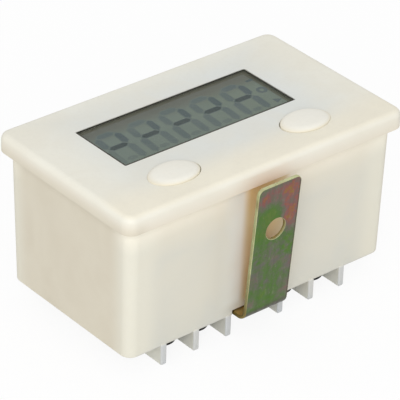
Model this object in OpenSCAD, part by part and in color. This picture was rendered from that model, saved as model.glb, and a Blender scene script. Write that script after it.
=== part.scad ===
// Electronic punch counter: a flanged instrument case with a five-digit display, two push
// buttons, rear screw terminals between barrier fins, and an angled mounting bracket.
// It stands on its fins with the display up. Millimetres, +Z up, X along the case's long
// side, -Y towards the bracket's leg. The origin is under the middle of the outline.

/* [Case] */
// Length of the front flange
flange_l = 65; // [64.4:0.2:75]
// Width of the front flange
flange_w = 38.6; // [38:0.2:46]
// Thickness of the front flange
flange_t = 3.6; // [3.4:0.1:5]
// How far the flange stands out past the housing on each side
flange_lip = 1.5; // [0.8:0.1:1.8]
// Rounding of the flange's upright corners
flange_r = 2.2; // [1.6:0.1:3]
// Rounding of the flange's top edge
flange_edge = 1.3; // [0.8:0.1:1.5]
// Height from the rear wall's outer face to the top face
case_h = 31; // [30:0.2:40]
// Draw-in of each side wall between the flange and the rear
draft = 0.45; // [0:0.05:0.6]
// Rounding of the housing's upright corners
corner_r = 2.2; // [2:0.1:4]
// Rounding of the rear wall's outer edge
rear_edge_r = 0.8; // [0.3:0.1:1.2]
// Thickness of the housing's side walls
wall = 1.8; // [1.4:0.1:2]
// Thickness of the rear wall
rear_wall = 3; // [2.6:0.1:4]
// Thickness of the front panel's plate
panel_t = 1.6; // [1.4:0.1:2]
// Offset of display, buttons, terminals and bracket from the case's middle
core_shift = -1.2; // [-1.6:0.1:1.6]

/* [Front panel tabs] */
// Width of each locating tab
tab_w = 14; // [8:0.5:16]
// Thickness of each locating tab
tab_t = 1.2; // [0.8:0.1:1.4]
// How far the tabs reach into the housing
tab_l = 2.4; // [1.8:0.1:2.8]
// Radius of the snap bead on each long-side tab
bead_r = 0.6; // [0.4:0.05:0.8]

/* [Display] */
// Length of the display window
window_l = 39.7; // [34:0.1:41]
// Width of the display window as a share of the case's inner width
window_share = 0.45; // [0.4:0.01:0.46]
// Thickness of each glass plate
glass_t = 1.1; // [0.7:0.05:1.2]
// Thickness of the segment layer
film_t = 0.1; // [0.05:0.05:0.2]
// How far the rear glass passes the window at each end
glass_rim = 1; // [0.6:0.1:1.4]
// How far the rear glass passes the window along each contact edge
contact_rim = 1; // [0.9:0.05:1.1]
// Thickness of the reflector behind the rear glass
reflector_t = 0.2; // [0.1:0.05:0.3]
// Width of each elastomer contact strip
strip_w = 0.7; // [0.5:0.05:0.8]
// Wall of the frame round the glass
frame_wall = 0.6; // [0.5:0.05:0.8]
// Number of digits
digit_count = 5; // [3:1:5]
// Height of a digit as a share of the window's width
digit_share = 0.736; // [0.5:0.002:0.78]
// Distance from digit to digit as a share of the window's length
pitch_share = 0.184; // [0.16:0.001:0.186]
// Width of a digit as a share of that distance
digit_fill = 0.644; // [0.4:0.002:0.7]
// Width of a digit's segment
segment_w = 1.1; // [0.6:0.05:1.3]
// Gap between neighbouring segments
segment_gap = 0.18; // [0.1:0.02:0.3]
// Lean of the digits in degrees
digit_slant = 5; // [0:1:10]

/* [Buttons] */
// Length of an oval button cap
button_l = 10.8; // [9:0.1:12]
// Width of an oval button cap
button_w = 7.2; // [6.8:0.1:7.8]
// Distance between the two buttons
button_spacing = 30.7; // [26:0.1:34]
// Offset of the buttons from the display's middle
button_shift = 0.5; // [-1:0.1:1]
// Distance from the housing's inner wall to the buttons' axes
button_inset = 4.6; // [4.4:0.1:5]
// Distance from the buttons' axes to the window's near edge
button_drop = 7.2; // [7:0.1:7.6]
// How far a cap's side stands out of the panel
button_proud = 0.35; // [0.2:0.05:0.8]
// Height of the low dome on a cap
button_dome = 0.55; // [0.3:0.05:1]
// Travel of a button
button_travel = 0.4; // [0.2:0.05:0.5]
// Clearance round a cap in its hole
button_gap = 0.25; // [0.15:0.05:0.4]
// How far a cap's retaining lip stands out
lip_w = 0.5; // [0.4:0.05:0.7]
// Thickness of the retaining lip
lip_t = 0.8; // [0.5:0.1:1]

/* [Board] */
// Thickness of the circuit board
board_t = 1.6; // [1:0.1:1.8]
// Distance from the panel's plate down to the board
board_drop = 5.4; // [5.2:0.1:6.4]
// Side of a switch body
switch_s = 6; // [5:0.1:6.2]
// Height of a switch body
switch_h = 3.5; // [3:0.1:3.6]
// Diameter of a switch plunger
plunger_d = 3.4; // [2.6:0.1:3.8]
// Diameter of a pillar under the board
pillar_d = 4; // [3.6:0.1:4.2]
// Distance of a pillar's axis from the inner walls
pillar_inset = 2.6; // [2.5:0.1:3]
// Diameter of a board screw
board_screw_d = 2; // [1.6:0.1:2.2]
// Length of a board screw under its head
board_screw_l = 6; // [4:0.5:8]

/* [Battery] */
// Diameter of the cell as a share of the housing's inner width at the rear
cell_share = 0.4508; // [0.42:0.0002:0.454]
// Clearance between the battery cradle and each end wall
cradle_gap = 0.45; // [0.35:0.05:1]
// Diameter of the positive nub
nub_d = 5.4; // [4.5:0.1:6]
// Length of the positive nub
nub_l = 1.2; // [1:0.1:1.6]
// Length of the pressed contact spring
spring_l = 3; // [2.6:0.1:3.2]
// Wire of the contact spring
spring_wire = 0.6; // [0.4:0.05:0.7]
// Turns of the contact spring
spring_turns = 2; // [1.5:0.5:2]
// Thickness of a battery contact
contact_t = 0.4; // [0.2:0.05:0.5]
// Wall of the battery cradle
cradle_t = 1.2; // [0.8:0.1:1.3]

/* [Terminals] */
// Height of the barrier fins
fin_h = 4; // [3.8:0.1:6]
// Thickness of a barrier fin
fin_t = 1.3; // [0.8:0.1:1.6]
// Distance from fin to fin within a group
fin_pitch = 7.6; // [7.4:0.05:8]
// Distance between the two middle fins
fin_middle = 12.9; // [12.4:0.1:14]
// Distance of the terminal screws from the near face as a share of the rear's width
terminal_share = 0.1412; // [0.13:0.0002:0.155]
// Diameter of a terminal screw
terminal_d = 3; // [2.5:0.1:3.2]
// Diameter of a terminal screw's head
terminal_head_d = 5.4; // [4.6:0.1:5.6]
// Height of a terminal screw's head
terminal_head_h = 1.8; // [1.4:0.1:2]
// Side of a terminal's square washer
terminal_washer_s = 5.6; // [5:0.1:5.8]
// Thickness of a terminal's washer
terminal_washer_t = 0.6; // [0.4:0.1:0.8]
// Outside diameter of a terminal's threaded post
post_d = 5; // [4.4:0.1:5.4]
// Diameter of the pin from a post up to the board
pin_d = 1.2; // [0.8:0.1:1.6]

/* [Bracket] */
// Width of the strip
strip_metal_w = 10; // [8:0.1:10.4]
// Thickness of the strip
strip_metal_t = 1; // [0.8:0.1:1.2]
// Inside radius of the bend
bend_r = 1.2; // [0.8:0.1:2]
// Clear gap between the housing and the leg where the bend ends
leg_gap = 2.5; // [1.6:0.1:4]
// Lean of the leg away from the housing in degrees
leg_lean = 5; // [0:0.5:8]
// Height of the leg above the foot's underside
leg_h = 29.1; // [20:0.1:36]
// Rounding of the leg's free corners
leg_corner_r = 1.3; // [0.5:0.1:3]
// Diameter of the hole in the leg
leg_hole_d = 4.5; // [3:0.1:6.5]
// Distance from the leg's free end to the hole's centre
leg_hole_drop = 10; // [6:0.1:14]
// How far the foot runs past its screw
foot_tail = 4.6; // [4:0.1:8]
// Diameter of the foot's screw
foot_screw_d = 4; // [3:0.1:4.2]
// Diameter of the foot screw's head
foot_head_d = 7; // [5.5:0.1:8]
// Height of the foot screw's head
foot_head_h = 2.2; // [1.6:0.1:2.3]
// Diameter of the foot screw's washer
foot_washer_d = 8; // [6.5:0.1:9.4]
// Thickness of the foot screw's washer
foot_washer_t = 0.8; // [0.5:0.1:0.8]
// Outside diameter of the foot screw's threaded insert
insert_d = 6; // [5.2:0.1:6]

/* [Hidden] */
$fn = 64;
hull_fn = 32;
// Clearances
fit_gap = 0.15;
thread_gap = 0.05;
side_gap = 0.35;
board_gap = 0.3;
overlap = 0.1;
recess = 0.8;

// Heights
rear_z = fin_h;
floor_z = rear_z + rear_wall;
top_z = rear_z + case_h;
flange_z = top_z - flange_t;
plate_z = top_z - panel_t;
board_top = plate_z - board_drop;
board_z = board_top - board_t;

// Plan of the case
case_l = flange_l - 2 * flange_lip;
case_w = flange_w - 2 * flange_lip;
rear_l = case_l - 2 * draft;
rear_w = case_w - 2 * draft;
near_y = -rear_w / 2;
inner_l = case_l - 2 * wall;
inner_w = case_w - 2 * wall;
inner_rear_l = rear_l - 2 * wall;
inner_rear_w = rear_w - 2 * wall;
inner_r = max(corner_r - wall, 0.2);

// Pocket in the front panel's underside, over the housing's inside
pocket_land = 0.4;
pocket_l = inner_l - 2 * pocket_land;
pocket_w = inner_w - 2 * pocket_land;
pocket_h = plate_z - flange_z;

// Display
button_y = button_inset - inner_w / 2;
window_w = window_share * inner_w;
window_y = button_y + button_drop + window_w / 2;
digit_h = digit_share * window_w;
digit_pitch = pitch_share * window_l;
digit_w = digit_fill * digit_pitch;
glass_l = window_l + 2 * glass_rim;
glass_w = window_w + 2 * contact_rim;
rear_glass_z = plate_z - glass_t;
front_glass_z = plate_z + film_t;
mark_s = 1.5;
mark_gap = 0.2;
mark_x = digit_count * digit_pitch / 2 + mark_gap + mark_s / 2;
mark_step = digit_h * 0.43;
digits_shift = [-0.7, 0.4];

// Buttons
lip_top = plate_z - fit_gap;
lip_z = lip_top - lip_t;
lip_reach = button_gap + lip_w;
cap_top = top_z + button_proud + button_dome;
dome_r = (pow(button_l / 2, 2) + pow(button_dome, 2)) / (2 * button_dome);
plunger_gap = 0.2;
switch_floor = board_top + recess;
plunger_z = switch_floor + button_travel + plunger_gap;

// Board and its pillars
pillar_x = inner_rear_l / 2 - pillar_inset;
pillar_y = inner_rear_w / 2 - pillar_inset;
board_head_d = 1.9 * board_screw_d;
board_head_h = 0.65 * board_screw_d;
pilot_l = board_screw_l;
chip_d = 11;
chip_h = 1.6;
resistor_l = 1.6;
can_d = 2;
can_l = 6;
capacitor_d = 5;
capacitor_h = 5.4;

// Battery
cell_d = cell_share * inner_rear_w;
cradle_half = cell_d / 2 + side_gap + cradle_t;
cell_y = pillar_y - pillar_d / 2 - side_gap - cradle_half;
cell_z = floor_z + cradle_t + fit_gap + cell_d / 2;
cradle_in = inner_rear_l - 2 * (cradle_gap + cradle_t);
cell_l = cradle_in - spring_l - 2 * contact_t - 2 * overlap;
cell_x = -cradle_in / 2 + contact_t + spring_l + overlap;
contact_w = 0.56 * cell_d;
contact_h = 0.76 * cell_d;
tag_w = 3;
spring_r1 = 0.3 * cell_d;
spring_r2 = 0.16 * cell_d;
spring_sides = 6;
spring_steps = 8;

// Terminals
terminal_y = near_y + terminal_share * rear_w;
post_rise = 2;
post_top = floor_z + post_rise;
terminal_boss_d = post_d + 2;
post_floor = 0.8;

// Bracket
groove_extra = 0.2;
groove_gap = 0.2;
foot_top = rear_z + strip_metal_t + groove_extra;
foot_z = foot_top - strip_metal_t;
boss_d = insert_d + 2;
insert_rise = 3.5;
insert_top = floor_z + insert_rise;
foot_screw_y = cell_y - cradle_half - side_gap - boss_d / 2;
foot_end_y = foot_screw_y + foot_tail;
bend_y = near_y - leg_gap + bend_r * cos(leg_lean);
bend_z = foot_top + bend_r;
bend_out = bend_r + strip_metal_t;
bend_steps = 10;
leg_l = (leg_h - (bend_z - foot_z) + bend_out * sin(leg_lean)) / cos(leg_lean);
leg_reach = -bend_y + bend_out * cos(leg_lean) + leg_l * sin(leg_lean);

// Middle of the outline across the width
case_y = (leg_reach - flange_w / 2) / 2;

// Shared places and shapes

// The two ends of a mirrored row
function both() = [-1, 1];

// X places of the buttons, fins and terminals
function button_x(side) = core_shift + button_shift + side * button_spacing / 2;
function fin_x(side, i) = core_shift + side * (fin_middle / 2 + i * fin_pitch);
function terminal_x(side, i) = fin_x(side, i + 0.5);

// A block centred on X and Y that stands on z
module block(l, w, h, z = 0) {
    translate([-l / 2, -w / 2, z]) cube([l, w, h]);
}

// An upright rod or a round hole's tool that stands on z
module rod(d, h, z = 0) {
    translate([0, 0, z]) cylinder(d = d, h = h);
}

// An upright oval that stands on z, a cap's plan grown by a margin
module oval(margin, h, z) {
    l = button_l + 2 * margin;
    w = button_w + 2 * margin;
    translate([0, 0, z]) linear_extrude(h) scale([1, w / l]) circle(d = l);
}

// Four copies at the corners of a rectangle
module at_corners(x, y) {
    for (sx = both(), sy = both()) translate([sx * x, sy * y, 0]) children();
}

// Copies at the four pillars
module at_pillars() {
    at_corners(pillar_x, pillar_y) children();
}

// A copy at the bracket foot's screw
module at_foot() {
    translate([core_shift, foot_screw_y, 0]) children();
}

// Copies at the four terminals
module at_terminals() {
    for (side = both(), i = [0, 1]) translate([terminal_x(side, i), terminal_y, 0]) children();
}

// A drafted box with round upright corners, from plan l by w at z1 to l0 by w0 at z0
module drafted_box(l0, w0, z0, l1, w1, z1, r, edge = 0) {
    $fn = hull_fn;
    mid = edge * (1 - sin(45));
    hull() {
        at_corners(l1 / 2 - r, w1 / 2 - r) rod(2 * r, overlap, z1 - overlap);
        at_corners(l0 / 2 - r, w0 / 2 - r) {
            rod(2 * r, overlap, z0 + edge);
            if (edge > 0) {
                rod(2 * (r - mid), overlap, z0 + mid);
                rod(2 * (r - edge), overlap, z0);
            }
        }
    }
}

// Front panel

// Flange with round corners and a round top edge
module flange_block() {
    $fn = hull_fn;
    hull() at_corners(flange_l / 2 - flange_r, flange_w / 2 - flange_r) {
        rod(2 * flange_r, overlap, flange_z);
        for (turn = [0 : 15 : 90]) {
            level_z = top_z - flange_edge * (1 - sin(turn));
            rod(2 * (flange_r - flange_edge * (1 - cos(turn))), overlap, level_z - overlap);
        }
    }
}

// Locating tab whose outer face stands fit_gap inside a wall at distance d along +Y
module tab(d) {
    tab_h = plate_z - flange_z + tab_l + overlap;
    translate([-tab_w / 2, d - fit_gap - tab_t, flange_z - tab_l]) cube([tab_w, tab_t, tab_h]);
}

// A snap bead, or with a gap its groove, on the outer face of both long-side tabs
module beads(gap = 0) {
    bead_l = tab_w / 2 + 2 * gap;
    bead_y = inner_w / 2 - fit_gap - bead_r / 4;
    for (side = both())
        translate([core_shift - bead_l / 2, side * bead_y, flange_z - tab_l / 2])
            rotate([0, 90, 0]) cylinder(r = bead_r + gap, h = bead_l);
}

module front_panel() {
    color("ivory") difference() {
        union() {
            difference() {
                flange_block();
                block(pocket_l, pocket_w, pocket_h + overlap, flange_z - overlap);
            }
            translate([core_shift, 0, 0]) for (turn = [0, 180]) rotate([0, 0, turn]) tab(inner_w / 2);
            for (turn = [90, 270]) rotate([0, 0, turn]) tab(inner_l / 2);
            beads();
        }
        translate([core_shift, window_y, 0]) block(window_l, window_w, flange_t, flange_z + overlap);
        for (side = both()) translate([button_x(side), button_y, 0]) {
            oval(button_gap, flange_t + overlap, flange_z);
            oval(lip_reach + fit_gap, pocket_h + overlap, flange_z - overlap);
        }
    }
}

// Rear housing

// Holes, bosses and grooves on the rear wall
module terminal_bosses() {
    at_terminals() rod(terminal_boss_d, post_top - rear_z - overlap, rear_z + overlap);
}

module bracket_groove() {
    groove_w = strip_metal_w + 2 * groove_gap;
    groove_l = foot_end_y + groove_gap - near_y + overlap;
    translate([core_shift - groove_w / 2, near_y - overlap, rear_z - overlap])
        cube([groove_w, groove_l, foot_top - rear_z + overlap]);
}

module fins() {
    for (side = both(), i = [0 : 2])
        translate([fin_x(side, i), 0, 0]) block(fin_t, rear_w, fin_h + rear_edge_r + overlap);
}

module rear_housing() {
    color("ivory") difference() {
        union() {
            difference() {
                drafted_box(rear_l, rear_w, rear_z, case_l, case_w, flange_z, corner_r, rear_edge_r);
                drafted_box(
                    inner_rear_l, inner_rear_w, floor_z, inner_l, inner_w, flange_z + overlap, inner_r
                );
            }
            fins();
            terminal_bosses();
            at_foot() rod(boss_d, insert_top - foot_top - overlap, foot_top + overlap);
            at_pillars() rod(pillar_d, board_z - floor_z + overlap, floor_z - overlap);
        }
        bracket_groove();
        at_terminals() rod(post_d + 2 * thread_gap, post_top - rear_z + 2 * overlap, rear_z - overlap);
        at_foot() rod(insert_d + 2 * thread_gap, insert_top - rear_z + overlap, rear_z);
        at_pillars() rod(board_screw_d + 2 * thread_gap, pilot_l + overlap, board_z - pilot_l);
        beads(fit_gap);
    }
}

// Display

module display_plate(l, w, t, z) {
    translate([core_shift, window_y, 0]) block(l, w, t, z);
}

module lcd_front_glass() {
    color("lightgrey", 0.4)
        display_plate(window_l - 2 * fit_gap, window_w - 2 * fit_gap, glass_t, front_glass_z);
}

module lcd_rear_glass() {
    color("darkseagreen") display_plate(glass_l, glass_w, glass_t, rear_glass_z);
}

module lcd_reflector() {
    reflector_w = glass_w - 2 * (strip_w + fit_gap);
    color("silver")
        display_plate(glass_l - 2 * glass_rim, reflector_w, reflector_t, rear_glass_z - reflector_t);
}

module lcd_frame() {
    frame_h = plate_z - fit_gap - board_top;
    hole_l = glass_l + 2 * fit_gap;
    hole_w = glass_w + 2 * fit_gap;
    color("dimgrey") difference() {
        display_plate(hole_l + 2 * frame_wall, hole_w + 2 * frame_wall, frame_h, board_top);
        display_plate(hole_l, hole_w, frame_h + 2 * overlap, board_top - overlap);
    }
}

module elastomer_strips() {
    strip_y = (glass_w - strip_w) / 2;
    color("hotpink") for (side = both())
        translate([core_shift, window_y + side * strip_y, 0])
            block(glass_l, strip_w, rear_glass_z - board_top, board_top);
}

// A point of a digit, leaned over by the slant
function leaned(p) = [p.x + p.y * tan(digit_slant), p.y];

// A pointed segment of length n centred on the origin, along X or along Y
function bar(n) = let(h = segment_w / 2, e = n / 2 - segment_gap)
    [[-e, 0], [-e + h, h], [e - h, h], [e, 0], [e - h, -h], [-e + h, -h]];
function turned(points) = [for (p = points) [p.y, p.x]];
function moved(points, dx, dy) = [for (p = points) leaned([p.x + dx, p.y + dy])];

// Centre lines of a digit's segments
digit_dx = digit_w - segment_w;
digit_dy = (digit_h - segment_w) / 2;

module digit() {
    for (y = [-digit_dy, 0, digit_dy]) polygon(moved(bar(digit_dx), 0, y));
    for (x = [-digit_dx / 2, digit_dx / 2], y = [-digit_dy / 2, digit_dy / 2])
        polygon(moved(turned(bar(digit_dy)), x, y));
}

// Three small marks beside the digits: a stroke, a ring and a pointer
module marks() {
    translate([0, mark_step]) square([mark_s / 4, mark_s], center = true);
    difference() {
        circle(d = mark_s);
        circle(d = mark_s / 2);
    }
    translate([0, -mark_step]) circle(d = mark_s, $fn = 3);
}

module lcd_segments() {
    place = [core_shift, window_y] + digits_shift;
    color("darkslategrey") translate([place.x, place.y, plate_z]) linear_extrude(film_t) {
        for (i = [0 : digit_count - 1])
            translate([(i - (digit_count - 1) / 2) * digit_pitch, 0]) digit();
        translate([mark_x, 0]) marks();
    }
}

// Circuit board

module main_board() {
    color("darkgreen") difference() {
        block(inner_rear_l - 2 * board_gap, inner_rear_w - 2 * board_gap, board_t, board_z);
        at_pillars() rod(board_screw_d + 2 * fit_gap, board_t + 2 * overlap, board_z - overlap);
    }
}

module board_screws() {
    color("silver") at_pillars() {
        rod(board_head_d, board_head_h, board_top);
        rod(board_screw_d, board_screw_l + overlap, board_top - board_screw_l);
    }
}

module controller_chip() {
    chip_r = (pow(chip_d / 2, 2) + pow(chip_h, 2)) / (2 * chip_h);
    color("black") translate([core_shift, window_y, board_top]) intersection() {
        translate([0, 0, chip_h - chip_r]) sphere(r = chip_r);
        cylinder(d = chip_d + overlap, h = chip_h + overlap);
    }
}

module chip_resistors() {
    color("black") for (i = [-1 : 1], side = both())
        translate([core_shift + window_l / 4 + 2 * i * resistor_l, window_y + side * window_w / 5, 0])
            block(resistor_l, resistor_l / 2, resistor_l / 3, board_top);
}

module quartz_can() {
    can_x = core_shift + button_spacing / 4;
    color("silver") translate([can_x, cell_y - cell_d / 2, board_z - can_d / 2 - thread_gap])
        rotate([0, 90, 0]) cylinder(d = can_d, h = can_l);
}

module capacitor() {
    color("navy") translate([core_shift, terminal_y + terminal_boss_d / 2, board_z - capacitor_h])
        cylinder(d = capacitor_d, h = capacitor_h);
}

// Switches and buttons

module switch_bodies() {
    color("dimgrey") for (side = both()) translate([button_x(side), button_y, 0]) difference() {
        block(switch_s, switch_s, switch_h, board_top);
        rod(plunger_d + 2 * plunger_gap, switch_h, switch_floor);
    }
}

module plunger(side) {
    translate([button_x(side), button_y, plunger_z]) cylinder(d = plunger_d, h = lip_z - plunger_z);
}

// Domed cap with a lip that keeps it behind the panel
module button(side) {
    translate([button_x(side), button_y, 0]) {
        oval(lip_reach, lip_t, lip_z);
        intersection() {
            oval(0, cap_top - lip_z, lip_z + lip_t / 2);
            translate([0, 0, cap_top - dome_r]) sphere(r = dome_r, $fn = 128);
        }
    }
}

module pause_button() {
    color("floralwhite") button(-1);
}

module pause_plunger() {
    color("black") plunger(-1);
}

module reset_button() {
    color("floralwhite") button(1);
}

module reset_plunger() {
    color("black") plunger(1);
}

// Battery

module battery_cradle() {
    cradle_l = cradle_in + 2 * cradle_t;
    cradle_h = cell_z + cell_d / 6 - floor_z;
    bed_d = cell_d + 2 * fit_gap;
    color("darkslategrey") translate([0, cell_y, 0]) difference() {
        block(cradle_l, 2 * cradle_half, cradle_h, floor_z);
        translate([-cradle_in / 2, 0, cell_z]) rotate([0, 90, 0]) cylinder(d = bed_d, h = cradle_in);
        block(cradle_in, bed_d, cell_d, cell_z);
    }
}

module battery_cell() {
    color("firebrick") translate([cell_x, cell_y, cell_z]) rotate([0, 90, 0]) {
        cylinder(d = cell_d, h = cell_l - nub_l);
        cylinder(d = nub_d, h = cell_l);
    }
}

// Contact plate with a tag up to the board, its back on the cradle's end wall
module contact_plate() {
    translate([cradle_in / 2 - contact_t, cell_y, 0]) {
        translate([0, -contact_w / 2, cell_z - contact_h / 2]) cube([contact_t, contact_w, contact_h]);
        translate([0, -tag_w / 2, cell_z]) cube([contact_t, tag_w, board_z - cell_z]);
    }
}

module negative_contact() {
    color("silver") mirror([1, 0, 0]) contact_plate();
}

module positive_contact() {
    color("silver") contact_plate();
}

// Conical spring: one tube swept along a helix about X
spring_n = round(spring_turns * spring_steps);
spring_x0 = -cradle_in / 2 + contact_t + spring_wire / 2 + thread_gap;
spring_x1 = cell_x - spring_wire / 2 - thread_gap;
function spring_at(t) = let(a = 360 * spring_turns * t, r = spring_r1 + (spring_r2 - spring_r1) * t)
    [spring_x0 + (spring_x1 - spring_x0) * t, cell_y + r * cos(a), cell_z + r * sin(a)];
function spring_ring(t, k) =
    let(a = 360 * spring_turns * t, b = 360 * k / spring_sides, w = spring_wire / 2)
    spring_at(t) + [w * sin(b), w * cos(b) * cos(a), w * cos(b) * sin(a)];

module contact_spring() {
    s = spring_sides;
    points = [for (i = [0 : spring_n], k = [0 : s - 1]) spring_ring(i / spring_n, k)];
    sides = [for (i = [0 : spring_n - 1], k = [0 : s - 1], half = [0, 1])
        let(a = i * s + k, b = i * s + (k + 1) % s)
        half == 0 ? [a, b, b + s] : [a, b + s, a + s]];
    first = [for (k = [1 : s - 2]) [0, k + 1, k]];
    last = [for (k = [1 : s - 2]) [spring_n * s, spring_n * s + k, spring_n * s + k + 1]];
    color("silver") polyhedron(points, concat(sides, first, last));
}

// Terminals

// Cross slot in the underside of a screw head that ends at z
module cross_slot(head_d, z) {
    slot_l = 0.8 * head_d;
    slot_w = 0.16 * head_d;
    slot_depth = 0.15 * head_d;
    for (turn = [0, 90]) rotate([0, 0, turn]) block(slot_l, slot_w, slot_depth + overlap, z - overlap);
}

module terminal_screws() {
    head_z = rear_z - terminal_washer_t - terminal_head_h;
    tip_z = post_top - post_floor - overlap;
    color([0.12, 0.12, 0.12]) at_terminals() difference() {
        union() {
            rod(terminal_head_d, terminal_head_h, head_z);
            rod(terminal_d, tip_z - head_z - overlap, head_z + overlap);
        }
        cross_slot(terminal_head_d, head_z);
    }
}

module terminal_washers() {
    washer_z = rear_z - terminal_washer_t;
    color("silver") at_terminals() difference() {
        block(terminal_washer_s, terminal_washer_s, terminal_washer_t, washer_z);
        rod(terminal_d + 2 * fit_gap, terminal_washer_t + 2 * overlap, washer_z - overlap);
    }
}

module terminal_posts() {
    color("gold") at_terminals() difference() {
        union() {
            rod(post_d, post_top - rear_z, rear_z);
            rod(pin_d, board_z - post_top + overlap, post_top - overlap);
        }
        rod(terminal_d + 2 * thread_gap, post_top - post_floor - rear_z + overlap, rear_z - overlap);
    }
}

// Bracket

// Points of the strip's side, at radius r from the bend's axis: round the bend and up the leg
function bend_point(r, a) = [bend_y - r * sin(a), bend_z - r * cos(a)];
function leg_point(r, v) = bend_point(r, 90 - leg_lean) + v * [-sin(leg_lean), cos(leg_lean)];

// Side profile of the strip: the inner line from foot to leg, then the outer line back
module strip_profile() {
    turn = (90 - leg_lean) / bend_steps;
    polygon(concat(
        [[foot_end_y, foot_z], [foot_end_y, foot_top]],
        [for (i = [0 : bend_steps]) bend_point(bend_r, i * turn)],
        [leg_point(bend_r, leg_l), leg_point(bend_out, leg_l)],
        [for (i = [bend_steps : -1 : 0]) bend_point(bend_out, i * turn)]
    ));
}

// Children in the plane of the leg: X across it, Y up from the bend, Z out from its inner face
module on_leg() {
    translate([core_shift, bend_y, bend_z]) rotate([leg_lean, 0, 0])
        translate([0, -bend_r, 0]) rotate([90, 0, 0]) children();
}

// Tool that rounds the leg's two free corners
module corner_tool() {
    r = leg_corner_r;
    s = r + overlap;
    for (side = both()) translate([side * (strip_metal_w / 2 - r), leg_l - r, 0]) difference() {
        translate([side * s / 2, s / 2, 0]) block(s, s, strip_metal_t + 2 * overlap, -overlap);
        rod(2 * r, strip_metal_t + 4 * overlap, -2 * overlap);
    }
}

module mounting_bracket() {
    color("darkkhaki") difference() {
        translate([core_shift - strip_metal_w / 2, 0, 0]) rotate([90, 0, 90])
            linear_extrude(strip_metal_w) strip_profile();
        at_foot() rod(foot_screw_d + 2 * fit_gap, strip_metal_t + 2 * overlap, foot_z - overlap);
        on_leg() {
            translate([0, leg_l - leg_hole_drop, 0])
                rod(leg_hole_d, strip_metal_t + 2 * overlap, -overlap);
            corner_tool();
        }
    }
}

module bracket_washer() {
    color("silver") at_foot() difference() {
        rod(foot_washer_d, foot_washer_t, foot_z - foot_washer_t);
        rod(foot_screw_d + 2 * fit_gap, foot_washer_t + 2 * overlap, foot_z - foot_washer_t - overlap);
    }
}

module bracket_screw() {
    head_z = foot_z - foot_washer_t - foot_head_h;
    tip_z = insert_top - recess - overlap;
    color("silver") at_foot() difference() {
        union() {
            rod(foot_head_d, foot_head_h, head_z);
            rod(foot_screw_d, tip_z - head_z - overlap, head_z + overlap);
        }
        cross_slot(foot_head_d, head_z);
    }
}

module bracket_insert() {
    blind_h = insert_top - recess - foot_top;
    color("gold") at_foot() difference() {
        rod(insert_d, insert_top - foot_top, foot_top);
        rod(foot_screw_d + 2 * thread_gap, blind_h + overlap, foot_top - overlap);
    }
}

// The whole part stands over the middle of its outline
module placed() {
    translate([0, case_y, 0]) children();
}

placed() front_panel();
placed() rear_housing();
placed() lcd_front_glass();
placed() lcd_segments();
placed() lcd_rear_glass();
placed() lcd_reflector();
placed() lcd_frame();
placed() elastomer_strips();
placed() main_board();
placed() controller_chip();
placed() chip_resistors();
placed() quartz_can();
placed() capacitor();
placed() board_screws();
placed() switch_bodies();
placed() pause_button();
placed() pause_plunger();
placed() reset_button();
placed() reset_plunger();
placed() battery_cradle();
placed() battery_cell();
placed() negative_contact();
placed() contact_spring();
placed() positive_contact();
placed() terminal_screws();
placed() terminal_washers();
placed() terminal_posts();
placed() mounting_bracket();
placed() bracket_screw();
placed() bracket_washer();
placed() bracket_insert();
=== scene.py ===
"""Looks of an electronic punch counter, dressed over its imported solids.

Each sub-assembly is a class that keeps its sizes in millimetres, in the case's own axes, and
builds and dresses its pieces. The case's middle lies CASE_Y behind the frame's origin. CORE_X is
the middle of the terminals and the bracket, FACE_Z the front face, FOOT_Y the bracket's screw, and
BUTTONS_AT the buttons' middle, their reach to each side and their Y. A Span holds the two ends of
a range and the values that they become.
"""

import logging
import math
from dataclasses import dataclass, field
from enum import Enum

import bmesh
import bpy
from mathutils import Matrix, Vector
from mathutils.geometry import delaunay_2d_cdt


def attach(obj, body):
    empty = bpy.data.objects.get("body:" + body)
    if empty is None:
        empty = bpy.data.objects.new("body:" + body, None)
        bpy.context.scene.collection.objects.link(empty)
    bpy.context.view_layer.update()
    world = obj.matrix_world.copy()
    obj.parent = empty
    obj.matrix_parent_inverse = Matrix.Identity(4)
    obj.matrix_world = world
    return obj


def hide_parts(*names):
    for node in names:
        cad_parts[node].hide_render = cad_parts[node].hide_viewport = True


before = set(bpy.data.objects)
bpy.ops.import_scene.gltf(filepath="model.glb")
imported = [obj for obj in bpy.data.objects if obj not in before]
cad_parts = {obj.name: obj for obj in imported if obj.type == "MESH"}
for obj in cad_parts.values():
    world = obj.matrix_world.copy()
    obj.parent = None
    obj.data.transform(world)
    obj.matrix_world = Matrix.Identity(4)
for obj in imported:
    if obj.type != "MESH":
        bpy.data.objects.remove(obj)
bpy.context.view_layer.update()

LOG = logging.getLogger("punch_counter")
MM = 0.001
CASE_Y = 1.9582
CORE_X = -1.2
FACE_Z = 35.0
FOOT_Y = -10.87
WINDOW_AT = (-1.375, 3.1)
BUTTONS_AT = (-0.7, 15.35, -11.4)
FLAT_ERROR = 1e-6
LEAST_RADIUS = 0.03
ROUND_STEPS = 48
FASTENER_SHARP = 30.0

Point = tuple[float, float]
Triple = tuple[float, float, float]
Span = tuple[float, float, float, float]
Colour = tuple[float, float, float, float]
Ring = list[bmesh.types.BMVert]
Piece = bpy.types.Object
Socket = bpy.types.NodeSocket
Value = Socket | float | Colour


class Body(Enum):
    """The bodies that pieces ride on."""

    CASE = "case"
    PAUSE = "pause_key"
    RESET = "reset_key"


class Effect(Enum):
    """Shader node groups that several finishes share."""

    GRAIN = "moulded_grain"
    RUB = "rubbed_metal"
    DUST = "settled_dust"


class Side(Enum):
    """Left and right of the case's middle."""

    LEFT = -1
    RIGHT = 1


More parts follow.
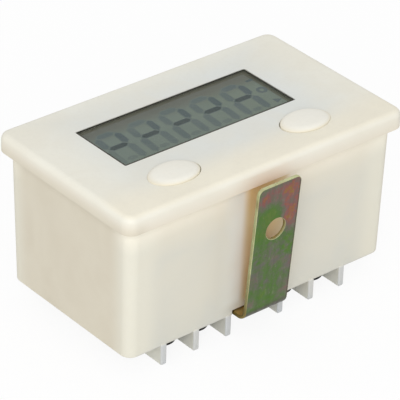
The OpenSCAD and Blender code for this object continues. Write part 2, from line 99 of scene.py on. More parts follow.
def srgb(red: float, green: float, blue: float) -> Colour:
    """Turn a colour of 0 to 255 as seen on a screen into a linear one.

    Args:
        red: Red, 0 to 255.
        green: Green, 0 to 255.
        blue: Blue, 0 to 255.

    Returns:
        The linear colour with full alpha.
    """
    parts = [value / 255 for value in (red, green, blue)]
    return (*[part / 12.92 if part <= 0.04045 else ((part + 0.055) / 1.055) ** 2.4
              for part in parts], 1.0)


def rounded_rect(
    length: float, width: float, radius: float, centre: Point = (0.0, 0.0), steps: int = 8
) -> list[Point]:
    """Lay out a rectangle with round corners, anticlockwise.

    Args:
        length: Size along X.
        width: Size along Y.
        radius: Radius of the corners.
        centre: Middle of the rectangle.
        steps: Pieces in each corner's arc.

    Returns:
        The outline's points, always 4 * (steps + 1) of them.
    """
    points = []
    for corner, (sx, sy) in enumerate(((1, 1), (-1, 1), (-1, -1), (1, -1))):
        cx = centre[0] + sx * (length / 2 - radius)
        cy = centre[1] + sy * (width / 2 - radius)
        for step in range(steps + 1):
            angle = math.radians(90 * corner + 90 * step / steps)
            points.append((cx + radius * math.cos(angle), cy + radius * math.sin(angle)))
    return points


def oval(half: Point, centre: Point = (0.0, 0.0), steps: int = 64) -> list[Point]:
    """Lay out an oval from half its size along X and along Y, anticlockwise."""
    turns = (2 * math.pi * step / steps for step in range(steps))
    return [(centre[0] + half[0] * math.cos(a), centre[1] + half[1] * math.sin(a)) for a in turns]


def circle(radius: float, centre: Point = (0.0, 0.0), steps: int = 64) -> list[Point]:
    """Lay out a circle as an oval of equal halves."""
    return oval((radius, radius), centre, steps)


def quarter(steps: int) -> list[Point]:
    """Return (1 - cos, sin) along a quarter turn, for rounding an edge."""
    angles = (math.pi / 2 * step / steps for step in range(steps + 1))
    return [(1 - math.cos(a), math.sin(a)) for a in angles]


def lower_edge(z: float, radius: float, steps: int) -> list[Point]:
    """Return insets and heights round a lower edge, from the face at z out to the wall."""
    return [(radius * (1 - s), z + radius * c) for c, s in quarter(steps)]


def upper_edge(z: float, radius: float, steps: int) -> list[Point]:
    """Return insets and heights round an upper edge, from the wall in to the face at z."""
    return [(radius * c, z - radius + radius * s) for c, s in quarter(steps)]


def chamfered(low_z: float, high_z: float, ease: float) -> list[Point]:
    """Return insets and heights up a wall whose lower and upper edges are cut off."""
    return [(ease, low_z), (0.0, low_z + ease), (0.0, high_z - ease), (ease, high_z)]


def linked(name: str, data: bpy.types.ID) -> Piece:
    """Return a new object of a mesh, a lamp or a camera, linked to the scene.

    Args:
        name: Name of the object.
        data: What it shows.

    Returns:
        The object.
    """
    made = bpy.data.objects.new(name, data)
    bpy.context.scene.collection.objects.link(made)
    return made


class Skin:
    """A mesh that grows ring by ring, in millimetres in the case's axes."""

    def __init__(self) -> None:
        """Start an empty mesh."""
        self.bm = bmesh.new()

    def ring(self, points: list[Point], z: float) -> Ring:
        """Add a level ring of points and return its vertices in order."""
        return [self.bm.verts.new((x, y, z)) for x, y in points]

    def stack(self, size: Point, radius: float, levels: list[Point], centre: Point = (0.0, 0.0),
              steps: int = 8) -> list[Ring]:
        """Add rings of one rectangle with round corners, each drawn in by its own inset.

        Args:
            size: Length and width before any inset.
            radius: Radius of the corners before any inset.
            levels: Inset and height of each ring. A negative inset widens it.
            centre: Middle of the rectangle.
            steps: Pieces in each corner's arc.

        Returns:
            The rings in order.
        """
        length, width = size
        return [self.ring(rounded_rect(length - 2 * inset, width - 2 * inset,
                                       max(radius - inset, LEAST_RADIUS), centre, steps), z)
                for inset, z in levels]

    def bridge(self, low: Ring, high: Ring, material: int = 0) -> None:
        """Join two rings of equal length with a band of quads.

        Args:
            low: First ring.
            high: Second ring.
            material: Material index of the band.
        """
        count = len(low)
        for i in range(count):
            j = (i + 1) % count
            face = self.bm.faces.new((low[i], low[j], high[j], high[i]))
            face.material_index = material

    def chain(self, rings: list[Ring], material: int = 0) -> None:
        """Join each ring to the next of equal length."""
        for low, high in zip(rings, rings[1:]):
            self.bridge(low, high, material)

    def close(self, rings: list[Ring], material: int = 0) -> None:
        """Make a closed solid from rings.

        Args:
            rings: Rings of equal length, the first and last of them about flat.
            material: Material index of its faces.
        """
        self.chain(rings, material)
        for ring in (rings[0], rings[-1]):
            self.bm.faces.new(ring).material_index = material

    def fill(self, *rings: Ring, material: int = 0) -> None:
        """Fill a flat face inside a ring.

        Args:
            rings: Outline of the face, then any convex holes in it.
            material: Material index of the face.
        """
        corners = [vert for ring in rings for vert in ring]
        owner = [number for number, ring in enumerate(rings) for _ in ring]
        across = (rings[0][0].co - rings[0][len(rings[0]) // 3].co).normalized()
        normal = across.cross(rings[0][0].co - rings[0][2 * len(rings[0]) // 3].co).normalized()
        along = normal.cross(across)
        flat = [Vector((vert.co.dot(across), vert.co.dot(along))) for vert in corners]
        edges, first = [], 0
        for ring in rings:
            last = first + len(ring)
            edges += [(i, i + 1 if i + 1 < last else first) for i in range(first, last)]
            first = last
        _, _, faces, origin, _, _ = delaunay_2d_cdt(flat, edges, [], 1, FLAT_ERROR)
        for face in faces:
            spots = [origin[i][0] for i in face]
            owners = {owner[spot] for spot in spots}
            if owners == {0} or len(owners) > 1:
                made = self.bm.faces.new([corners[spot] for spot in spots])
                made.material_index = material

    def plate(self, outer: list[Ring], holes: list[list[Ring]]) -> None:
        """Close a plate with holes from its walls.

        Args:
            outer: Rings of the outer wall, from the lower face to the upper one.
            holes: For each hole, its rings in the same order.
        """
        for wall in [outer, *holes]:
            self.chain(wall)
        self.fill(outer[-1], *[wall[-1] for wall in holes])
        self.fill(outer[0], *[wall[0] for wall in holes])

    def lathe(self, profile: list[Point], centre: Point = (0.0, 0.0), steps: int = 64) -> None:
        """Turn a closed solid from a profile that starts and ends on the axis.

        Args:
            profile: Pairs of radius and height.
            centre: Place of the axis.
            steps: Pieces round the axis.
        """
        first = self.bm.verts.new((*centre, profile[0][1]))
        last = self.bm.verts.new((*centre, profile[-1][1]))
        rings = [self.ring(circle(r, centre, steps), z) for r, z in profile[1:-1]]
        self.chain(rings)
        for tip, ring in ((first, rings[0]), (last, rings[-1])):
            for a, b in zip(ring, ring[1:] + ring[:1]):
                self.bm.faces.new((tip, a, b))

    def block(self, low: Vector, high: Vector, edge: float = 0.0, rim: float = 0.2) -> None:
        """Add a box with round upright corners and softened upper and lower edges.

        Args:
            low: Lowest corner.
            high: Highest corner.
            edge: Rounding of the lower and upper edges.
            rim: Rounding of the upright corners.
        """
        middle, size = (low + high) / 2, high - low
        levels = [(0.0, low.z), (0.0, high.z)]
        if edge > 0:
            levels = lower_edge(low.z, edge, 3) + upper_edge(high.z, edge, 3)
        self.close(self.stack((size.x, size.y), rim, levels, (middle.x, middle.y), 3))

    def piece(self, name: str) -> Piece:
        """Turn the mesh into an object in the frame's metres.

        Args:
            name: Name of the piece.

        Returns:
            The new object.
        """
        bmesh.ops.recalc_face_normals(self.bm, faces=self.bm.faces)
        mesh = bpy.data.meshes.new(name)
        self.bm.to_mesh(mesh)
        self.bm.free()
        mesh.transform(Matrix.Scale(MM, 4) @ Matrix.Translation((0.0, CASE_Y, 0.0)))
        return linked(name, mesh)


class Joint(Enum):
    """Ways of joining one solid with another."""

    CUT = "DIFFERENCE"
    ADD = "UNION"


def combine(body: Piece, tool: Piece, how: Joint) -> None:
    """Cut a piece with a tool or weld the tool to it, then drop the tool.

    Args:
        body: Piece that changes.
        tool: Closed solid that is taken away or added.
        how: Whether the tool cuts or joins.
    """
    cut = body.modifiers.new("cut", "BOOLEAN")
    cut.object = tool
    cut.operation = how.value
    cut.solver = "EXACT"
    bpy.context.view_layer.update()
    graph = bpy.context.evaluated_depsgraph_get()
    mesh = bpy.data.meshes.new_from_object(body.evaluated_get(graph))
    body.modifiers.clear()
    body.data = mesh
    bpy.data.objects.remove(tool)


def soften(piece: Piece, angle: float = 35.0) -> None:
    """Shade a piece smooth, keeping edges sharper than an angle.

    Args:
        piece: The piece to shade.
        angle: Edges that turn further than this stay sharp, in degrees.
    """
    work = bmesh.new()
    work.from_mesh(piece.data)
    for face in work.faces:
        face.smooth = True
    for edge in work.edges:
        edge.smooth = edge.is_manifold and edge.calc_face_angle(0.0) < math.radians(angle)
    work.to_mesh(piece.data)
    work.free()
    even = piece.modifiers.new("even_normals", "WEIGHTED_NORMAL")
    even.keep_sharp = True


@dataclass(frozen=True)
class Cloud:
    """A noise in object space and the part of its range that becomes 0 to 1."""

    scale: float
    detail: float
    low: float
    high: float
    bend: float = 0.0


MOTTLE = Cloud(95.0, 3.0, 0.3, 0.7, bend=0.6)
GLOSS = Cloud(210.0, 4.0, 0.32, 0.68)
TARNISH = Cloud(260.0, 4.0, 0.3, 0.7, bend=0.8)
SETTLED = Cloud(1500.0, 4.0, 0.42, 0.72)


class Painter:
    """Short calls for adding nodes to one tree."""

    def __init__(self, tree: bpy.types.NodeTree) -> None:
        """Keep the tree to paint in."""
        self.tree = tree

    def node(self, kind: str, inputs: dict | None = None, **settings: object) -> bpy.types.Node:
        """Add a node.

        Args:
            kind: Node type.
            inputs: Socket name or number to a constant or to another node's output.
            settings: Properties of the node.

        Returns:
            The new node.
        """
        made = self.tree.nodes.new(kind)
        for key, value in settings.items():
            setattr(made, key, value)
        for key, value in (inputs or {}).items():
            self.feed(made.inputs[key], value)
        return made

    def feed(self, socket: Socket, value: Value) -> None:
        """Link an output into a socket, or set a constant on it.

        Args:
            socket: The socket to fill.
            value: A constant or another node's output.
        """
        if isinstance(value, Socket):
            self.tree.links.new(value, socket)
        else:
            socket.default_value = value

    def shade(self, inputs: dict[str, Value]) -> None:
        """Fill in the tree's Principled BSDF.

        Args:
            inputs: Socket names with a constant or another node's output for each.
        """
        shader = self.tree.nodes["Principled BSDF"].inputs
        for name, value in inputs.items():
            self.feed(shader[name], value)

    def math(self, operation: str, *values: Value, clamp: bool = False) -> Socket:
        """Return a math node's result, held between 0 and 1 if clamp is set."""
        inputs = dict(enumerate(values))
        return self.node("ShaderNodeMath", inputs, operation=operation, use_clamp=clamp).outputs[0]

    def times(self, *values: Value) -> Socket:
        """Return the product of two or more values.

        Args:
            values: Numbers or other nodes' outputs.

        Returns:
            The product.
        """
        product = values[0]
        for value in values[1:]:
            product = self.math("MULTIPLY", product, value)
        return product

    def mix(self, amount: Value, first: Value, second: Value) -> Socket:
        """Return two colours blended, the amount being the second one's share."""
        inputs = {0: amount, 6: first, 7: second}
        return self.node("ShaderNodeMix", inputs, data_type="RGBA").outputs[2]

    def span(self, value: Value, low: float, high: float, to_low: float = 0.0,
             to_high: float = 1.0) -> Socket:
        """Map a value smoothly from one range to another.

        Args:
            value: The value.
            low: Value that gives to_low.
            high: Value that gives to_high.
            to_low: Result at low.
            to_high: Result at high.

        Returns:
            The mapped value, held inside the new range.
        """
        inputs = {"Value": value, "From Min": low, "From Max": high, "To Min": to_low,
                  "To Max": to_high}
        made = self.node("ShaderNodeMapRange", inputs, interpolation_type="SMOOTHSTEP")
        return made.outputs["Result"]

    def ramp(self, value: Value, stops: list[tuple[float, Colour]]) -> Socket:
        """Turn a value into a colour along a row of stops.

        Args:
            value: The value.
            stops: Places and colours.

        Returns:
            The colour.
        """
        made = self.node("ShaderNodeValToRGB", {"Fac": value})
        row = made.color_ramp.elements
        while len(row) < len(stops):
            row.new(0.5)
        for element, (place, colour) in zip(row, stops):
            element.position = place
            element.color = colour
        return made.outputs["Color"]

    def noise(self, scale: Value, detail: float = 2.0, vector: object = None,
              distortion: float = 0.0) -> Socket:
        """Add a noise in object space.

        Args:
            scale: Waves per metre of the coordinates.
            detail: Finer layers.
            vector: Coordinates, or none for plain object space.
            distortion: How far the noise bends itself.

        Returns:
            The noise, about 0.3 to 0.7.
        """
        inputs = {"Vector": vector or self.place(), "Scale": scale, "Detail": detail,
                  "Distortion": distortion}
        return self.node("ShaderNodeTexNoise", inputs).outputs["Fac"]

    def cloud(self, cloud: Cloud) -> Socket:
        """Return a cloud as a mask of 0 to 1."""
        noise = self.noise(cloud.scale, cloud.detail, distortion=cloud.bend)
        return self.span(noise, cloud.low, cloud.high)

    def place(self) -> Socket:
        """Return object coordinates, in metres in the frame."""
        return self.node("ShaderNodeTexCoord").outputs["Object"]

    def stretched(self, scale: Triple, turn: Triple = (0.0, 0.0, 0.0)) -> Socket:
        """Return object coordinates turned and stretched.

        Args:
            scale: Factor along each axis.
            turn: Turn about each axis, in degrees.

        Returns:
            The coordinates.
        """
        inputs = {"Vector": self.place(), "Scale": scale,
                  "Rotation": tuple(math.radians(a) for a in turn)}
        return self.node("ShaderNodeMapping", inputs).outputs["Vector"]

    def axes(self) -> tuple[Socket, ...]:
        """Return X, Y and Z of the object coordinates."""
        return tuple(self.node("ShaderNodeSeparateXYZ", {0: self.place()}).outputs)

    def effect(self, effect: Effect, **inputs: Value) -> bpy.types.NodeOutputs:
        """Place a shared effect in the tree and return the group node's outputs."""
        return self.node("ShaderNodeGroup", inputs, node_tree=EFFECTS[effect]).outputs

    def bump(self, height: Value, strength: float, distance: float) -> Socket:
        """Turn a height into a normal, by a share and by a depth in metres."""
        inputs = {"Height": height, "Strength": strength, "Distance": distance}
        return self.node("ShaderNodeBump", inputs).outputs["Normal"]


def new_group(
    effect: Effect, inputs: dict[str, float], outputs: list[str]
) -> tuple[Painter, bpy.types.NodeOutputs, bpy.types.NodeInputs]:
    """Start a shader node group with number sockets.

    Args:
        effect: Effect that the group makes.
        inputs: Input names and their defaults.
        outputs: Output names.

    Returns:
        A painter in the group's tree, and there the sockets of what is given and of the results.
    """
    tree = bpy.data.node_groups.new(effect.value, "ShaderNodeTree")
    for name, value in inputs.items():
        socket = tree.interface.new_socket(name, in_out="INPUT", socket_type="NodeSocketFloat")
        socket.default_value = value
    for name in outputs:
        tree.interface.new_socket(name, in_out="OUTPUT", socket_type="NodeSocketFloat")
    given, result = tree.nodes.new("NodeGroupInput"), tree.nodes.new("NodeGroupOutput")
    return Painter(tree), given.outputs, result.inputs


def grain_group() -> bpy.types.NodeTree:
    """Make the surface of moulded plastic: spark-eroded grain, flow mottle and gloss patches.

    Returns:
        The node group.
    """
    paint, given, result = new_group(Effect.GRAIN, {"Scale": 5000.0},
                                     ["Height", "Mottle", "Gloss"])
    detail, soft_scale, soft_share = 3.0, 620.0, 0.6
    fine, soft = paint.noise(given["Scale"], detail), paint.noise(soft_scale, detail)
    paint.feed(result["Height"], paint.math("MULTIPLY_ADD", soft, soft_share, fine))
    paint.feed(result["Mottle"], paint.cloud(MOTTLE))
    paint.feed(result["Gloss"], paint.cloud(GLOSS))
    return paint.tree


def rub_group() -> bpy.types.NodeTree:
    """Make the drawn or turned surface of metal: fine streaks and larger tarnish.

    Returns:
        The node group.
    """
    paint, given, result = new_group(Effect.RUB, {"Scale": 900.0}, ["Streak", "Tarnish"])
    detail, low, high = 5.0, 0.28, 0.72
    lines = paint.stretched(scale=(1.0, 1.0, 0.07), turn=(0.0, 24.0, 0.0))
    streak = paint.noise(given["Scale"], detail, lines)
    paint.feed(result["Streak"], paint.span(streak, low, high))
    paint.feed(result["Tarnish"], paint.cloud(TARNISH))
    return paint.tree


def dust_group() -> bpy.types.NodeTree:
    """Make a thin settled dust that lies on what faces up.

    Returns:
        The node group.
    """
    paint, given, result = new_group(Effect.DUST, {"Amount": 0.1}, ["Mask"])
    normal = paint.node("ShaderNodeNewGeometry").outputs["Normal"]
    up = paint.node("ShaderNodeSeparateXYZ", {0: normal}).outputs["Z"]
    lying = paint.span(up, 0.5, 1.0)
    paint.feed(result["Mask"], paint.times(lying, paint.cloud(SETTLED), given["Amount"]))
    return paint.tree


EFFECTS: dict[Effect, bpy.types.NodeTree] = {
    Effect.GRAIN: grain_group(),
    Effect.RUB: rub_group(),
    Effect.DUST: dust_group(),
}
MATERIALS: dict[str, bpy.types.Material] = {}


@dataclass(frozen=True)
class Finish:
    """A named surface that becomes one material.

    Gloss is how far its roughness falls below and rises above the named value. A relief is a
    bump's share and its depth in metres. Places are in metres in the frame, where the fins' tips
    lie at Z = 0.
    """

    name: str
    colour: Colour
    roughness: float
    gloss: Point = (0.0, 0.1)

    def material(self) -> bpy.types.Material:
        """Make the finish's material on first use.

        Returns:
            The material.
        """
        if self.name not in MATERIALS:
            made = bpy.data.materials.new(self.name)
            made.use_nodes = True
            self.paint(Painter(made.node_tree))
            MATERIALS[self.name] = made
        return MATERIALS[self.name]

    def paint(self, paint: Painter) -> None:
        """Fill in the inputs of the material's Principled BSDF."""
        raise NotImplementedError

    def rough(self, paint: Painter, mask: Socket) -> Socket:
        """Return a roughness that varies with a mask of 0 to 1."""
        less, more = self.gloss
        return paint.span(mask, 0.0, 1.0, self.roughness - less, self.roughness + more)


@dataclass(frozen=True)
class MouldedPlastic(Finish):
    """Satin plastic with a moulded grain and a slow drift of colour."""

    gloss: Point = (0.06, 0.08)
    warm: Colour = srgb(226, 218, 196)
    drift: float = 0.35
    grain: float = 5200.0
    relief: Point = (0.35, 0.00001)
    dust: float = 0.05
    dust_grey: Colour = srgb(196, 194, 186)
    specular: float = 0.35

    def paint(self, paint: Painter) -> None:
        """Lay grain, mottle and dust over the plastic's colour.

        Args:
            paint: Painter in the material's tree.
        """
        grain = paint.effect(Effect.GRAIN, Scale=self.grain)
        dust = paint.effect(Effect.DUST, Amount=self.dust)
        drift = paint.times(grain["Mottle"], self.drift)
        colour = paint.mix(drift, self.tone(paint), self.warm)
        paint.shade({"Base Color": paint.mix(dust["Mask"], colour, self.dust_grey),
                     "Roughness": self.rough(paint, grain["Gloss"]),
                     "Normal": paint.bump(grain["Height"], *self.relief),
                     "Specular IOR Level": self.specular})

    def tone(self, paint: Painter) -> Value:
        """Return the plastic's colour before mottle and dust."""
        return self.colour


@dataclass(frozen=True)
class CaseIvory(MouldedPlastic):
    """Translucent ivory, greyer by painted shade in thin walls and warmer by painted light where
    the moulding is thick, with more painted light and shade laid in by height and by place.

    A tone fades in from the first place of a pair to the second, and rim_fade is in shares of
    half_size. The pairs corner_from and half_size hold one value for X and one for Y.
    """

    # The ivory's tone by height, with painted light and shade: lighter just under the flange
    # against its shade, brighter up the flange's rounded edge, darker at the fins' roots.
    tone_and_light_by_height: tuple[tuple[float, Colour], ...] = (
        (0.0, srgb(224, 224, 216)),
        (0.0034, srgb(206, 206, 197)),
        (0.0048, srgb(212, 212, 204)),
        (0.011, srgb(218, 216, 205)),
        (0.023, srgb(218, 216, 205)),
        (0.027, srgb(228, 223, 208)),
        (0.0305, srgb(248, 241, 225)),
        (0.0316, srgb(232, 224, 208)),
        (0.0334, srgb(238, 233, 220)),
        (0.0348, srgb(238, 236, 224)),
    )
    top_z: Point = (0.0343, 0.035)
    # Painted shade on the thin middle of the face, fading out towards its rim.
    thin_face_shade: Colour = srgb(224, 227, 223)
    rim_fade: Point = (0.95, 0.5)
    cool_far: float = 0.88
    # Painted light along the face's near edge.
    near_face_light: Colour = srgb(244, 236, 214)
    near_y: Point = (-0.006, -0.0135)
    near_share: float = 0.6
    # Painted warm shade on the left end wall, below the flange's top.
    end_wall_shade: Colour = srgb(217, 209, 191)
    end_x: Point = (-0.027, -0.0305)
    end_top: Point = (0.0342, 0.0308)
    # Painted highlight down the upright corners, lighter towards the top against the flange's
    # shade.
    corner: Colour = srgb(229, 226, 212)
    corner_top_light: Colour = srgb(246, 241, 226)
    corner_z: Point = (0.0255, 0.0302)
    corner_from: Point = (0.0225, 0.0118)
    corner_span: float = 0.005
    wall_top: Point = (0.0315, 0.0305)
    full_height: float = 0.036
    half_size: Point = (0.0325, 0.0193)
    middle_y: float = 0.00196
    # Painted shade on the fins' front faces.
    fin_end_shade: Colour = srgb(200, 203, 206)
    fin_end_y: Point = (-0.0153, -0.0155)
    fin_z: Point = (0.0046, 0.0042)
    # Painted gold reflection of the bracket's inner face on the wall behind it.
    gold_reflection: Colour = srgb(206, 178, 100)
    reflection_x: float = 0.0005
    reflection_span: Point = (0.0058, 0.0036)
    behind_y: Point = (-0.0148, -0.0153)
    behind_z: Point = (0.0055, 0.0075)
    reflection_share: float = 0.75
    # Painted light that lifts the bracket's shadow on the wall to its left.
    shadow_lift: Colour = srgb(233, 236, 230)
    lift_x: Point = (-0.0108, -0.006)
    lift_end: Point = (-0.0038, -0.0056)

    def tone(self, paint: Painter) -> Value:
        """Lay the walls' and the face's tones, with their painted light and shade, over one
        another.

        Args:
            paint: Painter in the material's tree.

        Returns:
            The colour before mottle and dust.
        """
        x, y, z = paint.axes()
        below, top = paint.span(z, *self.wall_top), paint.span(z, *self.top_z)
        # The wall behind the bracket, below the flange, where the painted gold reflection and the
        # painted light against the bracket's shadow lie.
        behind = paint.times(paint.span(y, *self.behind_y), below, paint.span(z, *self.behind_z))
        # Mask of the painted light on the wall to the left of the bracket.
        left = paint.times(paint.span(x, *self.lift_x), paint.span(x, *self.lift_end))
        across = paint.math("ABSOLUTE", paint.math("SUBTRACT", x, self.reflection_x))
        from_middle = paint.math("SUBTRACT", y, self.middle_y)
        off = (paint.math("ABSOLUTE", x), paint.math("ABSOLUTE", from_middle))
        near_corner = [paint.span(value, start, start + self.corner_span)
                       for value, start in zip(off, self.corner_from)]
        # Painted highlight on the upright corners, lighter at the top against the flange's shade.
        corner = paint.mix(paint.span(z, *self.corner_z), self.corner, self.corner_top_light)
        layers = (
            # painted warm shade on the left end wall
            (paint.times(paint.span(x, *self.end_x), paint.span(z, *self.end_top)), self.end_wall_shade),
            # painted highlight on the upright corners, below the flange
            (paint.times(*near_corner, below), corner),
            # painted shade on the fins' front faces
            (paint.times(paint.span(y, *self.fin_end_y), paint.span(z, *self.fin_z)), self.fin_end_shade),
            # painted light against the bracket's shadow
            (paint.times(left, behind), self.shadow_lift),
            # painted gold reflection of the bracket
            (paint.times(paint.span(across, *self.reflection_span, 0.0, self.reflection_share), behind),
             self.gold_reflection),
            # painted shade on the thin middle of the face
            (paint.times(self.from_rim(paint, off[0], from_middle), top), self.thin_face_shade),
            # painted light along the face's near edge
            (paint.times(paint.span(y, *self.near_y, 0.0, self.near_share), top), self.near_face_light),
        )
        # Ramp of the ivory's tone by height, with its painted light and shade.
        stops = [(place / self.full_height, tone) for place, tone in self.tone_and_light_by_height]
        colour = paint.ramp(paint.math("DIVIDE", z, self.full_height), stops)
        for mask, tone in layers:
            colour = paint.mix(mask, colour, tone)
        return colour

    def from_rim(self, paint: Painter, off_x: Value, from_middle: Value) -> Value:
        """Fade the painted shade of the thin face in, from nothing at the rim.

        Args:
            paint: Painter in the material's tree.
            off_x: Distance from the middle along X.
            from_middle: Place from the middle along Y.

        Returns:
            The painted shade's share, 0 to 1.
        """
        half_x, half_y = self.half_size
        away = paint.math("DIVIDE", from_middle, half_y)
        across = paint.math("MAXIMUM", paint.times(away, self.cool_far), paint.times(away, -1.0))
        rim = paint.math("MAXIMUM", paint.math("DIVIDE", off_x, half_x), across)
        return paint.span(rim, *self.rim_fade)


@dataclass(frozen=True)
class CapIvory(MouldedPlastic):
    """Cap plastic with a painted warm shade where its edge meets the panel."""

    # Painted warm shade round the cap's foot, where it meets the panel.
    seam: Colour = srgb(228, 220, 198)
    seam_z: Point = (0.03503, 0.0356)

    def tone(self, paint: Painter) -> Value:
        """Paint the warm shade at the seam, fading out up the cap."""
        return paint.mix(paint.span(paint.axes()[2], *self.seam_z), self.seam, self.colour)


@dataclass(frozen=True)
class Metal(Finish):
    """Bare, blackened or plated metal with streaks and tarnish."""

    gloss: Point = (0.08, 0.1)
    tarnish: Colour = srgb(120, 112, 100)
    tarnish_share: float = 0.35
    streak: float = 900.0
    relief: Point = (0.25, 0.000006)

    def paint(self, paint: Painter) -> None:
        """Lay streaks and tarnish over the metal's colour.

        Args:
            paint: Painter in the material's tree.
        """
        rub = paint.effect(Effect.RUB, Scale=self.streak)
        dull = paint.times(rub["Tarnish"], self.tarnish_share)
        paint.shade({"Base Color": paint.mix(dull, self.tone(paint), self.tarnish),
                     "Metallic": 1.0,
                     "Roughness": self.rough(paint, rub["Streak"]),
                     "Normal": paint.bump(rub["Streak"], *self.relief)})

    def tone(self, paint: Painter) -> Value:
        """Return the metal's colour before tarnish."""
        return self.colour


@dataclass(frozen=True)
class FootedZinc(Metal):
    """Zinc plate whose tone changes towards the bracket's foot: painted shade on the edges there,
    and painted light on the gold inner face where the gap shades it.
    """

    # Tone at the foot, here painted light for the gold inner face in the shaded gap.
    foot: Colour = srgb(186, 168, 112)
    foot_z: Point = (0.0058, 0.009)

    def tone(self, paint: Painter) -> Value:
        """Shade the colour by height."""
        return paint.mix(paint.span(paint.axes()[2], *self.foot_z), self.foot, self.colour)


@dataclass(frozen=True)
class ZincFilm(Finish):
    """Yellow zinc plate whose thin film shades from green through mauve to red and orange.

    Spots are places where the film is thicker or thinner: X from the strip's middle, Z, radius and
    change. Noises are given by scale and detail, and a share is how much of an effect shows.
    """

    gloss: Point = (0.08, 0.1)
    relief: Point = (0.3, 0.000008)
    film: tuple[tuple[float, Colour], ...] = (
        (0.0, srgb(92, 118, 54)),
        (0.16, srgb(82, 117, 52)),
        (0.34, srgb(90, 113, 68)),
        (0.48, srgb(100, 110, 82)),
        (0.6, srgb(112, 106, 92)),
        (0.72, srgb(126, 98, 92)),
        (0.84, srgb(142, 90, 84)),
        (0.94, srgb(148, 102, 66)),
        (1.0, srgb(138, 112, 62)),
    )
    thinnest: float = -0.44
    patches: Point = (520.0, 9.0)
    patch_bend: float = 0.6
    fine: Point = (2400.0, 4.0)
    fine_share: float = 0.5
    streak: float = 1500.0
    streak_share: float = 0.03
    speck: Colour = srgb(106, 103, 97)
    specks: Point = (900.0, 8.0)
    speck_range: Span = (0.42, 0.66, 0.0, 0.8)
    speck_z: Span = (0.0225, 0.018, 0.15, 1.0)
    clean_z: Span = (0.0085, 0.0125, 0.2, 1.0)
    scratches: Point = (1500.0, 4.0)
    scratch_stretch: Triple = (1.0, 1.0, 0.5)
    scratch_turn: Triple = (0.0, -24.0, 0.0)
    scratch_range: Point = (0.56, 0.74)
    scratch_share: float = 0.3
    # Painted shade on the bend and below it, where the strip turns under.
    bend: Colour = srgb(52, 44, 30)
    bend_z: Span = (0.0054, 0.0068, 0.9, 0.0)
    border_x: Span = (0.00445, 0.0048, 0.0, 0.85)
    middle_x: float = -0.0012
    spots: tuple[tuple[float, float, float, float], ...] = (
        (0.0044, 0.0300, 0.0062, 0.48),
        (0.0036, 0.0246, 0.0052, 0.46),
        (0.0003, 0.0314, 0.0052, 0.30),
        (-0.0046, 0.0316, 0.0042, 0.16),
        (-0.0028, 0.0306, 0.0036, 0.30),
        (-0.0049, 0.0274, 0.0036, 0.22),
        (-0.0022, 0.0262, 0.0044, -0.40),
        (-0.0034, 0.0218, 0.0040, -0.16),
        (0.0036, 0.0192, 0.0038, -0.24),
        (0.0004, 0.0178, 0.0042, 0.22),
        (-0.0044, 0.0128, 0.0042, 0.16),
        (-0.0036, 0.0078, 0.0022, 0.40),
        (-0.0010, 0.0086, 0.0062, -0.16),
        (0.0046, 0.0146, 0.0034, 0.32),
        (0.0046, 0.0086, 0.0036, 0.32),
    )

    def paint(self, paint: Painter) -> None:
        """Lay specks and bright scratches over the film, with painted shade on the bend and a
        darker band along the right edge.

        Args:
            paint: Painter in the material's tree.
        """
        x, _, z = paint.axes()
        rub = paint.effect(Effect.RUB, Scale=self.streak)
        film = paint.ramp(self.thickness(paint, x, z, rub["Streak"]), list(self.film))
        specks = paint.times(paint.span(paint.noise(*self.specks), *self.speck_range),
                             paint.span(z, *self.speck_z), paint.span(z, *self.clean_z))
        spotted = paint.mix(specks, film, self.speck)
        lines = paint.noise(*self.scratches, paint.stretched(self.scratch_stretch,
                                                             self.scratch_turn))
        scratch = paint.times(paint.span(lines, *self.scratch_range), self.scratch_share)
        scored = paint.mix(scratch, spotted, self.colour)
        border = paint.span(paint.math("SUBTRACT", x, self.middle_x), *self.border_x)
        # Painted shade on the bend, with the darker band along the right edge.
        dark = paint.math("MAXIMUM", paint.span(z, *self.bend_z), border)
        paint.shade({"Base Color": paint.mix(dark, scored, self.bend),
                     "Metallic": paint.math("SUBTRACT", 1.0, dark),
                     "Roughness": self.rough(paint, rub["Streak"]),
                     "Normal": paint.bump(rub["Streak"], *self.relief)})

    def thickness(self, paint: Painter, x: Value, z: Value, streak: Value) -> Value:
        """Let the film's thickness vary in patches, spots and rolling streaks.

        Args:
            paint: Painter in the material's tree.
            x: Place along X.
            z: Height.
            streak: Mask of the streaks.

        Returns:
            The thickness, 0 to 1.
        """
        patches = paint.noise(*self.patches, distortion=self.patch_bend)
        thick = paint.math("MULTIPLY_ADD", paint.noise(*self.fine), self.fine_share,
                           paint.math("ADD", patches, self.thinnest))
        for place_x, place_z, radius, change in self.spots:
            dx = paint.math("SUBTRACT", x, place_x + self.middle_x)
            dz = paint.math("SUBTRACT", z, place_z)
            far = paint.math("SQRT", paint.math("MULTIPLY_ADD", dx, dx, paint.times(dz, dz)))
            thick = paint.math("ADD", thick, paint.span(far, 0.0, radius, change, 0.0))
        return paint.math("MULTIPLY_ADD", streak, self.streak_share, thick, clamp=True)


@dataclass(frozen=True)
class PolarGlass(Finish):
    """Front glass with its grey polarising film."""

    cover: float = 0.12
    grain: float = 3000.0
    dust: float = 0.12
    dust_grey: Colour = srgb(170, 172, 164)
    specular: float = 0.2

    def paint(self, paint: Painter) -> None:
        """Let most light through and dull the gloss in faint patches.

        Args:
            paint: Painter in the material's tree.
        """
        dust = paint.effect(Effect.DUST, Amount=self.dust)
        grain = paint.effect(Effect.GRAIN, Scale=self.grain)
        paint.shade({"Base Color": paint.mix(dust["Mask"], self.colour, self.dust_grey),
                     "Roughness": self.rough(paint, grain["Gloss"]),
                     "Alpha": self.cover,
                     "Specular IOR Level": self.specular})


